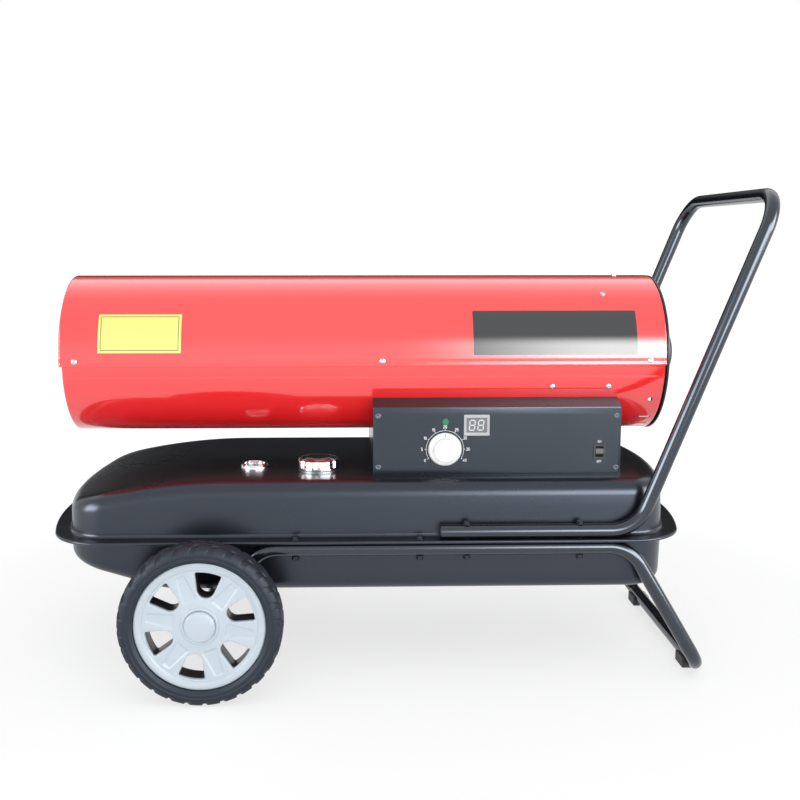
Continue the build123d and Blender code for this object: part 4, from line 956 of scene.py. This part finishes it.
for side, hand in SIDES:
    wheel = "wheel_" + hand
    piece(wheel, on_wheel(cover, side), wheel_plastic, wheel, smooth=38)
    piece("wheel_core_" + hand, on_wheel(core, side), black_plastic, wheel, own=False,
          smooth=38)
    piece("hub_cap_" + hand, on_wheel(cap, side), wheel_plastic, wheel)
print("wheel faces", len(cover[1]), len(core[1]))

# %% [markdown]
# ## Caps and gauge on the tank
# The fuel cap is a turned cup with eight broad scallops for the fingers. Its outline is a circle with
# bites taken out of it, and the same outline is stacked from the smooth skirt up to the chamfer. The
# gauge beside it is turned: a bezel pressed into the roof, with a cup under it that carries two rods.

# %% Fuel cap
def scalloped(r, count, bite_at, bite_r, per=24):
    """Radii and angles of a circle with round bites taken out of it."""
    turn, pitch, radii = full_turn(count * per), 2 * math.pi / count, []
    for a in turn:
        off = (a + pitch / 2) % pitch - pitch / 2
        room = bite_r ** 2 - (bite_at * math.sin(off)) ** 2
        radii.append(min(r, bite_at * math.cos(off) - math.sqrt(room)) if room > 0 else r)
    return np.array(radii), turn


lobes, turn = scalloped(34.0, 8, 41.5, 10.0)
levels = [(0.0, 336.6), (27.6, 336.6), (28.35, 335.8), (28.35, 327.6), (28.8, 327.0), (33.2, 327.0),
          (33.9, 327.5), (34.0, 328.4), (34.0, 330.2), (np.minimum(lobes + 0.5, 34.0), 330.6), (lobes, 331.0),
          (lobes, 340.6), (lobes - 0.25, 341.4), (lobes - 1.9, 343.0), (lobes - 2.6, 343.3),
          (lobes - 3.6, 343.4), (22.0, 343.4), (21.4, 343.5), (20.9, 344.0), (20.3, 344.2), (10, 344.2),
          (0.0, 344.2)]
piece("fuel_cap", skin(stacked(levels, turn, FILLER)), chrome, "cap", smooth=32)

# %% Fuel gauge
bezel = [(324.6, 22.8), (327.3, 22.8), (328.0, 22.5), (331.4, 20.9), (332.0, 20.2), (332.15, 19.3),
         (331.9, 18.2), (331.2, 17.7), (326.2, 17.6), (326.2, 3.1), (323.5, 3.1), (323.5, 14.5), (311.6, 14.5),
         (311.2, 14.9), (311.2, 16.8), (311.6, 17.2), (324.6, 17.2)]


def at_gauge(points):
    return [(GAUGE[0] + x, GAUGE[1] + y) for x, y in points]


def brick(y0, y1, z0, z1):
    return prism(at_gauge(corners(-4, 4, y0, y1)), z0, z1)


parts = [lathe(bezel, 96, "Z", (*GAUGE, 0))]
for at in at_gauge([(0, -12), (0, 12)]):
    parts.append(rod((*at, 153.6), (*at, 316), 1.5, 20))
parts += [brick(-14, 14, 152.5, 155.5), brick(-16, -4.2, 312, 324), brick(4.2, 16, 312, 324)]
parts.append(lathe([(312, 3.2), (312, 5), (324, 5), (324, 3.2)], 40, "Z", (*GAUGE, 0)))
piece("gauge_body", joined(parts), chrome, smooth=32)
dial = [(326.3, 3.4), (326.55, 3.4), (326.55, 17.2), (326.3, 17.2)]
piece("gauge_dial", lathe(dial, 96, "Z", (*GAUGE, 0)), dial_white, own=False, smooth=32)
ticks = []
for k in range(9):
    tick = corners(12.2 if k % 4 == 0 else 13.6, 16.2, -0.5, 0.5)
    ticks.append(prism(at_gauge(turned_by(tick, -90 + 33.75 * k)), 326.5, 326.62))
printed("gauge_ticks", joined(ticks), black_plastic)
DOME_R, GLASS = 42.0, 1.2
dome_z = 331.2 - DOME_R


def dome(r):
    return dome_z + math.sqrt(DOME_R ** 2 - r * r)


glass = [(dome(r), r) for r in np.linspace(0, 16.6, 14)]
glass += [(dome(17.1) - 0.15, 17.1), (327.4, 17.4), (326.8, 17.3), (326.8, 15.7), (327.0, 15.6)]
glass += [(dome(r) - GLASS, r) for r in np.linspace(14.4, 0, 12)]
piece("gauge_lens", lathe(glass, 72, "Z", (*GAUGE, 0)), lens_clear, smooth=40)
print("caps and gauge ready")

# %% [markdown]
# ## Control panel
# The front of the box is a folded plate with rounded corners. What is printed on it is drawn with
# strokes: every sign is a few short lines of constant width, laid a hair above the paint. Numbers
# run round the dial, and the switch has its two words. Everything else stays plain.

# %% Plates and printed strokes
PANEL_Y = -146.0
KNOB, LAMP = (128.0, 367.0), (128.5, 411.5)
DISPLAY, SWITCH = (158.0, 199.3, 389.0, 423.0), (367.7, 387.0, 350.7, 373.8)


def rounded_box(x0, x1, z0, z1, r, steps=7):
    """Outline and outward directions of a rectangle with round corners."""
    arcs = ((x1 - r, z0 + r, -90), (x1 - r, z1 - r, 0), (x0 + r, z1 - r, 90), (x0 + r, z0 + r, 180))
    points = [p for cx, cz, a in arcs for p in oval(cx, cz, r, r, a, a + 90, steps)]
    return np.array(points), np.array([n for _, _, a in arcs for n in oval(0, 0, 1, 1, a, a + 90, steps)])


def box_loop(box, inset, y):
    """The outline of a rounded box, drawn in by `inset`, as a loop at depth y."""
    outline, out = box
    return np.insert(outline - out * inset, 1, y, axis=1)


def upright_plate(box, stations):
    """Stacks a rounded box along Y; stations are (inset, y)."""
    return solid([box_loop(box, inset, y) for inset, y in stations])


def stroke(path, width, y0=PANEL_Y - 0.06, y1=PANEL_Y + 0.02):
    """A flat line of constant width along (x, z) points, standing a hair out of the panel."""
    path = [np.asarray(p, float) for p in path]
    steps = [unit(b - a) for a, b in zip(path, path[1:])]
    looped = np.linalg.norm(path[0] - path[-1]) < 1e-6
    before, after = [steps[-1] if looped else steps[0]] + steps, steps + [steps[0] if looped else steps[-1]]
    rings = []
    for p, a, b in zip(path, before, after):
        na, nb = np.array([-a[1], a[0]]), np.array([-b[1], b[0]])
        half = (na + nb) / max(0.35, 1 + float(na @ nb)) * width / 2
        left, right = p + half, p - half
        rings.append([(x, y, z) for (x, z), y in ((left, y0), (right, y0), (right, y1), (left, y1))])
    return solid(rings)


SIGNS = {
    "0": [oval(0.5, 1.0, 0.5, 1.0)],
    "1": [[(0.15, 1.6), (0.6, 2.0), (0.6, 0.0)]],
    "2": [oval(0.5, 1.5, 0.5, 0.5, 170, -35, 10) + [(0.0, 0.0), (1.05, 0.0)]],
    "3": [oval(0.45, 1.52, 0.47, 0.48, 160, -80, 10), oval(0.45, 0.52, 0.53, 0.52, 80, -160, 11)],
    "4": [[(0.75, 0.0), (0.75, 2.0), (0.0, 0.6), (1.05, 0.6)]],
    "5": [[(0.95, 2.0), (0.15, 2.0), (0.08, 1.1)] + oval(0.45, 0.62, 0.53, 0.62, 120, -150, 12)],
    "O": [oval(0.6, 1.0, 0.6, 1.0)],
    "N": [[(0.0, 0.0), (0.0, 2.0), (1.1, 0.0), (1.1, 2.0)]],
    "F": [[(0.0, 0.0), (0.0, 2.0), (1.0, 2.0)], [(0.0, 1.05), (0.85, 1.05)]],
}
ADVANCE = {"1": 1.15, "O": 1.75, "N": 1.7, "F": 1.35}


def lettering(text, cx, cz, height, weight=0.17):
    """Signs centred on (cx, cz)."""
    half = height / 2
    widths = [ADVANCE.get(c, 1.5) * half for c in text]
    x = cx - (sum(widths) - 0.45 * half) / 2
    parts = []
    for sign, step in zip(text, widths):
        parts += [stroke([(x + px * half, cz - half + pz * half) for px, pz in line], weight * height)
                  for line in SIGNS[sign]]
        x += step
    return parts


print("signs", len(SIGNS))

# %% Panel plate and marks
PANEL_SCREWS = ((20.7, 421.3), (20.8, 338.0), (403.5, 420.7), (404.5, 336.1))
THROUGH = [(0, PANEL_Y + 6), (0, PANEL_Y - 4)]
SCALE_R, TICK_R = 30.2, (30, 32.4)
FIGURES_X, FIGURES_Z, FIGURE_HIGH, WORD_X, WORD_HIGH = 37.0, 36.4, 4.4, 377.4, 3.6
folded = [(0.0, -144.55), (0.0, -145.2), (0.12, -145.6), (0.4, -145.88), (0.8, -146.0)]
panel = piece("control_panel", upright_plate(rounded_box(12.5, 411.5, 325.5, 435.6, 3.2), folded), box_powder,
              smooth=30)
openings = [rounded_box(cx - r, cx + r, cz - r, cz + r, r * 0.999, 9)
            for cx, cz, r in ((*KNOB, 5.1), (*LAMP, 4.1), *((*at, 1.9) for at in PANEL_SCREWS))]
openings += [rounded_box(x0 + rim, x1 - rim, z0 + rim, z1 - rim, 0.5)
             for (x0, x1, z0, z1), rim in ((DISPLAY, 2.0), (SWITCH, 1.0))]
cut(panel, [upright_plate(box, THROUGH) for box in openings])
marks = [stroke(oval(*KNOB, SCALE_R, SCALE_R, -30, 210, 61), 0.55)]
for k in range(9):
    a = math.radians(210 - 30 * k)
    c, s = math.cos(a), math.sin(a)
    marks.append(stroke([(KNOB[0] + r * c, KNOB[1] + r * s) for r in TICK_R], 0.9))
    marks += lettering(str(5 * k), KNOB[0] + FIGURES_X * c, KNOB[1] + FIGURES_Z * s, FIGURE_HIGH)
marks += lettering("ON", WORD_X, 378.6, WORD_HIGH) + lettering("OFF", WORD_X, 345.6, WORD_HIGH)
printed("panel_marks", joined(marks), dial_white)
print("panel marks", len(marks))

# %% Dial and screws
KNOB_Y = PANEL_Y - 0.6
skirt = [(-3.9, 16.5), (0.3, 16.6), (-0.1, 26.4), (-0.5, 27.0), (-1.1, 26.9), (-3.3, 25.6), (-4.0, 25.0),
         (-4.2, 24.2), (-4.2, 20.6), (-4.6, 20.0), (-4.6, 16.5)]
flute, turn = scalloped(19.5, 18, 20.6, 2.0, 10)
grip = [(flute, -3.4), (flute, -13.6), (flute - 0.25, -14.9), (flute - 0.9, -15.7), (flute - 1.9, -16.05),
        (15.5, -16.1), (14.9, -15.95), (14.3, -15.7), (0.0, -15.7)]
grip = stacked([(r, KNOB_Y + out) for r, out in grip], turn, KNOB, "Y")
parts = [lathe([(KNOB_Y + out, r) for out, r in skirt], 108, "Y", (KNOB[0], 0, KNOB[1])), skin(grip, True)]
piece("knob", joined(parts), dial_white, "knob", smooth=32)
pointer = stroke([(KNOB[0], KNOB[1] + r) for r in (20.8, 24.6)], 1.1, KNOB_Y - 4.26, KNOB_Y - 4.1)
printed("knob_pointer", pointer, black_plastic, "knob")
screw = [(1.75, 9.0), (1.75, 0.0), (4.9, 0.0), (4.9, -0.9), (4.55, -1.6), (3.9, -2.1), (3.1, -2.3), (2.5, -2.3),
         (2.1, -2.05), (1.5, -1.3), (0.01, -1.2)]
screw = [(r, PANEL_Y + out) for r, out in screw]
heads = [solid(stacked(screw, full_turn(48), at, "Y")) for at in PANEL_SCREWS]
piece("panel_screws", joined(heads), screw_black, smooth=50)
print("knob and", len(heads), "screws")

# %% Display
x0, x1, z0, z1 = DISPLAY
frame_box, window_box = rounded_box(x0, x1, z0, z1, 1.2), rounded_box(x0 + 4, x1 - 4, z0 + 5, z1 - 5, 0.8)
section = [(frame_box, 0.0, 0.0), (frame_box, 0.0, -1.2), (frame_box, 0.15, -1.5), (frame_box, 0.5, -1.6),
           (window_box, -0.4, -1.6), (window_box, -0.1, -1.5), (window_box, 0.0, -1.3), (window_box, 0.0, 9.9),
           (frame_box, 2.4, 9.9), (frame_box, 2.4, 0.0)]
rings = [box_loop(box, inset, PANEL_Y + depth) for box, inset, depth in section]
piece("display_module", skin(rings + rings[:1]), display_grey, smooth=32)
screen = upright_plate(window_box, [(-0.1, PANEL_Y - 0.9), (-0.1, PANEL_Y + 8)])
piece("display_screen", screen, screen_grey, own=False, smooth=32)


def segment(a, b, width=1.9, gap=0.35, slant=0.10):
    """One bar of a seven-part figure, pointed at both ends."""
    a, b = np.array(a), np.array(b)
    along = unit(b - a)
    side, tip = np.array([-along[1], along[0]]) * width / 2, along * width / 2
    a, b = a + along * gap, b - along * gap
    ring = [(x + (z - (z0 + z1) / 2) * slant, z)
            for x, z in (a, a + tip + side, b - tip + side, b, b - tip - side, a + tip - side)]
    return solid([[(x, y, z) for x, z in ring] for y in (PANEL_Y - 0.86, PANEL_Y - 0.96)])


figures = []
for left in (x0 + 9.2, x0 + 23.0):
    right = left + 8.4
    levels = [z0 + 9.0, z0 + 17.0, z0 + 25.0]
    figures += [segment((left, z), (right, z)) for z in levels]
    figures += [segment((x, low), (x, high)) for x in (left, right) for low, high in zip(levels, levels[1:])]
printed("display_figures", joined(figures), figure_white)
print("display bars", len(figures))

# %% [markdown]
# ## Plates on the barrel and the intake guard
# Two thin plates are stuck to the barrel beside the seam: a yellow one near the hot end with a thin
# dark line round it, and a dark one near the fan. Both follow the curve of the sheet. The guard over
# the intake is welded from round wire: rings that lie on a shallow cone, and radial wires under them.

# %% Plates
def curved_plate(x0, x1, a0, a1, r, thick, rows=24):
    section = corners(x0, x1, r, r + thick)
    return solid([[around_barrel(x, a, q) for x, q in section] for a in np.linspace(a0, a1, rows)])


YELLOW, DARK = (-425.0, -293.0, 6.0, 34.0), (174.0, 439.0, 4.0, 36.5)
ON_PAINT, ON_PLATE = (SHELL_R - 0.02, 0.12), (SHELL_R + 0.05, 0.09)
printed("yellow_plate", curved_plate(*YELLOW, *ON_PAINT), yellow_print)
x0, x1, a0, a1 = YELLOW[0] + 4, YELLOW[1] - 4, YELLOW[2] + 1.7, YELLOW[3] - 1.7
lines = [curved_plate(x0, x1, *ends, *ON_PLATE, rows=3) for ends in ((a0, a0 + 0.4), (a1 - 0.4, a1))]
lines += [curved_plate(*ends, a0, a1, *ON_PLATE) for ends in ((x0, x0 + 0.9), (x1 - 0.9, x1))]
printed("yellow_plate_line", joined(lines), black_plastic)
printed("dark_plate", curved_plate(*DARK, *ON_PAINT), dark_print)
print("plates ready")

# %% Guard of round wire
def round_barrel(outline, steps):
    return lathe(outline, steps, "X", (0, 0, AXIS_Z))


def hoop(r, wire):
    turn = full_turn(12)
    return round_barrel(np.stack([cone_x(r) + wire * np.cos(turn), r + wire * np.sin(turn)], axis=1), 120)


def cone_x(r):
    return SHELL_HALF + 3.4 + 9.1 * (130.5 - r) / 90.5


rim = [(488.1, 123.4), (488.1, 131.2), (488.6, 131.5), (490.6, 131.5), (491.5, 130.8), (491.6, 129.6),
       (491.6, 123.6), (491.2, 123.1)]
collar = [(479.0, 124.0), (479.0, 125.8), (488.4, 125.8), (488.4, 124.0)]
parts = [round_barrel(rim, 150), round_barrel(collar, 120)]
parts += [hoop(r, wire) for r, wire in ((106.5, 1.25), (90.5, 1.25), (74.5, 1.25), (58.5, 1.25), (45.0, 1.5))]
for k in range(8):
    for off in (-1.6, 1.6):
        flat = turned_by(np.array([(45, off), (125, off)]), 22.5 + 45 * k)
        parts.append(rod(*((cone_x(r) - 1.6, y, AXIS_Z + z) for r, (y, z) in zip((45, 125), flat)), 1.1, 12))
guard = joined(parts)
piece("rear_guard", guard, black_enamel, smooth=40)
print("guard faces", len(guard[1]))

# %% [markdown]
# ## Camera
# The photograph was taken from about 1.7 m, a little above the barrel, looking slightly down and
# slightly to the right. Its principal point sits above the middle of the picture, which Blender
# expresses as a small vertical shift. A small horizontal shift makes room for the whole handle.

# %% Camera
PICTURE, SENSOR = 800, 36.0
FOCAL_PX, PITCH, YAW, RIGHT_PX, UP_PX = 1015.64, 7.17, 1.434, 30, 364.3 - PICTURE / 2
CAMERA_MM = (-32.4, -1743.4, 705.8)
camera_data = bpy.data.cameras.new("camera")
camera_data.sensor_width = SENSOR
camera_data.lens = FOCAL_PX * SENSOR / PICTURE
camera_data.shift_x, camera_data.shift_y = RIGHT_PX / PICTURE, UP_PX / PICTURE
camera = placed("camera", camera_data)
camera.location = (BARREL_MID + CAMERA_MM[0] * MM, CAMERA_MM[1] * MM, CAMERA_MM[2] * MM)
camera.rotation_euler = (math.radians(90 - PITCH), 0, math.radians(-YAW))
bpy.context.scene.camera = camera
print("camera", tuple(camera.location), camera_data.lens)

# %% [markdown]
# ## Studio
# The heater stands on a white floor in a white world. One wide soft lamp hangs in front and above,
# and a low one fills the front. Neither shows in reflections: what the paint mirrors are cards that
# are seen in mirrored rays only. A bright band in front lights the right part of the barrel, one
# hangs over the top and one beyond each end, and a dark one behind keeps the tank's roof black.
# Near the heater the floor mixes its own shading into its white, so it keeps a shadow.


# %% Floor, world, lamps and cards
FLOOR_HALF, FLOOR_WHITE, SHADING_ENDS, WHITE_BELOW, WORLD_LIGHT = 30, 1.15, (0.75, 1.7), 0.62, 0.62


def seen_directly(graph):
    """1 for rays from the camera and for mirrored or refracted ones, 0 for scattered light."""
    camera, glossy, clear_ray = (graph.node("ShaderNodeLightPath", {}, {}, name)
                                 for name in ("Is Camera Ray", "Is Glossy Ray", "Is Transmission Ray"))
    return (camera + glossy + clear_ray).clamped()


def rectangle(a, b):
    """The corners of a card with its lower edge at a's depth and height and its upper edge at b's."""
    return [a, (b[0], a[1], a[2]), b, (a[0], b[1], b[2])]


def stage_card(name, points, material):
    """A flat card, in metres, that belongs to the studio and not to the heater."""
    mesh = bpy.data.meshes.new(name)
    mesh.from_pydata(points, [], [(0, 1, 2, 3)])
    mesh.materials.append(material)
    card = placed(name, mesh)
    return card


def studio_floor():
    ground = Finish("studio floor")
    mottle = ground.clouds(400, 3.0)
    ground.done(Base_Color=ground.mix(mottle, (0.86, 0.86, 0.86), (0.90, 0.90, 0.90)), Roughness=0.8)
    flat = ground.place * (1.0, 1.0, 0.0)
    away = ground.node("ShaderNodeVectorMath", {"operation": "LENGTH"}, {0: flat}, 1).between(*SHADING_ENDS)
    white = ground.node("ShaderNodeEmission", {}, {0: (1.0, 1.0, 1.0), 1: FLOOR_WHITE})
    shaded = Field(ground, ground.surface.outputs[0])
    share = seen_directly(ground) * (WHITE_BELOW + away * (1 - WHITE_BELOW))
    mixed = ground.node("ShaderNodeMixShader", {}, {0: share, 1: shaded, 2: white})
    ground.tree.links.new(mixed.socket, ground.tree.nodes["Material Output"].inputs[0])
    stage_card("floor", rectangle((-FLOOR_HALF, -FLOOR_HALF, 0), (FLOOR_HALF, FLOOR_HALF, 0)), ground.material)


class Surround(Finish):
    """The same arithmetic for the world's own network."""

    def __init__(self, level):
        world = bpy.data.worlds.new("studio")
        world.use_nodes = True
        self.tree = world.node_tree
        soft = Field(self, self.tree.nodes["Background"].outputs[0])
        self.feed(self.tree.nodes["Background"].inputs[0], (0.97, 0.985, 1.0))
        self.feed(self.tree.nodes["Background"].inputs[1], level)
        white = self.node("ShaderNodeBackground", {}, {0: (1.0, 1.0, 1.0), 1: 1.0})
        mixed = self.node("ShaderNodeMixShader", {}, {0: seen_directly(self), 1: soft, 2: white})
        self.tree.links.new(mixed.socket, self.tree.nodes["World Output"].inputs[0])
        bpy.context.scene.world = world


def reflector(name, points, low, high, brightness):
    """A card that is seen in mirrored rays only; `brightness` says where it goes from `low` to `high`."""
    paint = Finish(name)
    tone = brightness(paint)
    reach = max(low, high)
    paint.done(
        Base_Color=(0.0, 0.0, 0.0),
        Roughness=1.0,
        Specular_IOR_Level=0.0,
        Emission_Color=paint.mix(tone, [low / reach] * 3, [high / reach] * 3),
        Emission_Strength=reach,
    )
    card = stage_card(name, points, paint.material)
    card.visible_camera = card.visible_diffuse = card.visible_shadow = card.visible_transmission = False


def lamp(name, place, target, size, size_y, radiance):
    """A soft rectangular lamp; its brightness is that of its own surface."""
    data = bpy.data.lights.new(name, "AREA")
    data.shape, data.size, data.size_y = "RECTANGLE", size, size_y
    data.energy = radiance * math.pi * size * size_y
    obj = placed(name, data)
    obj.location = place
    obj.rotation_euler = (Vector(target) - Vector(place)).to_track_quat("-Z", "Y").to_euler()
    obj.visible_glossy = False


bpy.context.scene.view_settings.view_transform = "Standard"
studio_floor()
Surround(WORLD_LIGHT)
lamp("front and above", (0.0, -1.9, 3.0), (0, 0, 0.45), 3.2, 3.0, radiance=1.25)
lamp("low fill", (0.0, -3.0, 0.25), (0, 0, 0.40), 3.0, 0.5, radiance=7.5)
reflector("band", rectangle((-2.5, -3.9, 0.2), (3.2, -3.9, 3.0)), 1.0, 10.5,
          lambda p: (p.axis("X").between(0.18, 1.42) * 0.97 + 0.03)
          * p.axis("Z").between(0.22, 0.36) * (1 - p.axis("Z").between(1.45, 2.75)))
reflector("over the top", rectangle((-3, -0.3, 3.5), (3, 2.25, 2.45)), 1.0, 1.55,
          lambda p: p.axis("Y").between(-0.3, 1.9))
reflector("dark behind", rectangle((-3, 2.7, 0.33), (3, 2.7, 2.45)), 0.02, 0.3,
          lambda p: p.axis("Z").between(1.2, 2.4))
for x in (-3.2, 3.2):
    reflector("end card", [(x, -3.8, 0.3), (x, -0.9, 0.3), (x, -0.9, 2.7), (x, -3.8, 2.7)], 1.0, 10.0,
              lambda p: 1 - p.axis("Z").between(1.5, 2.7))
print("studio ready")
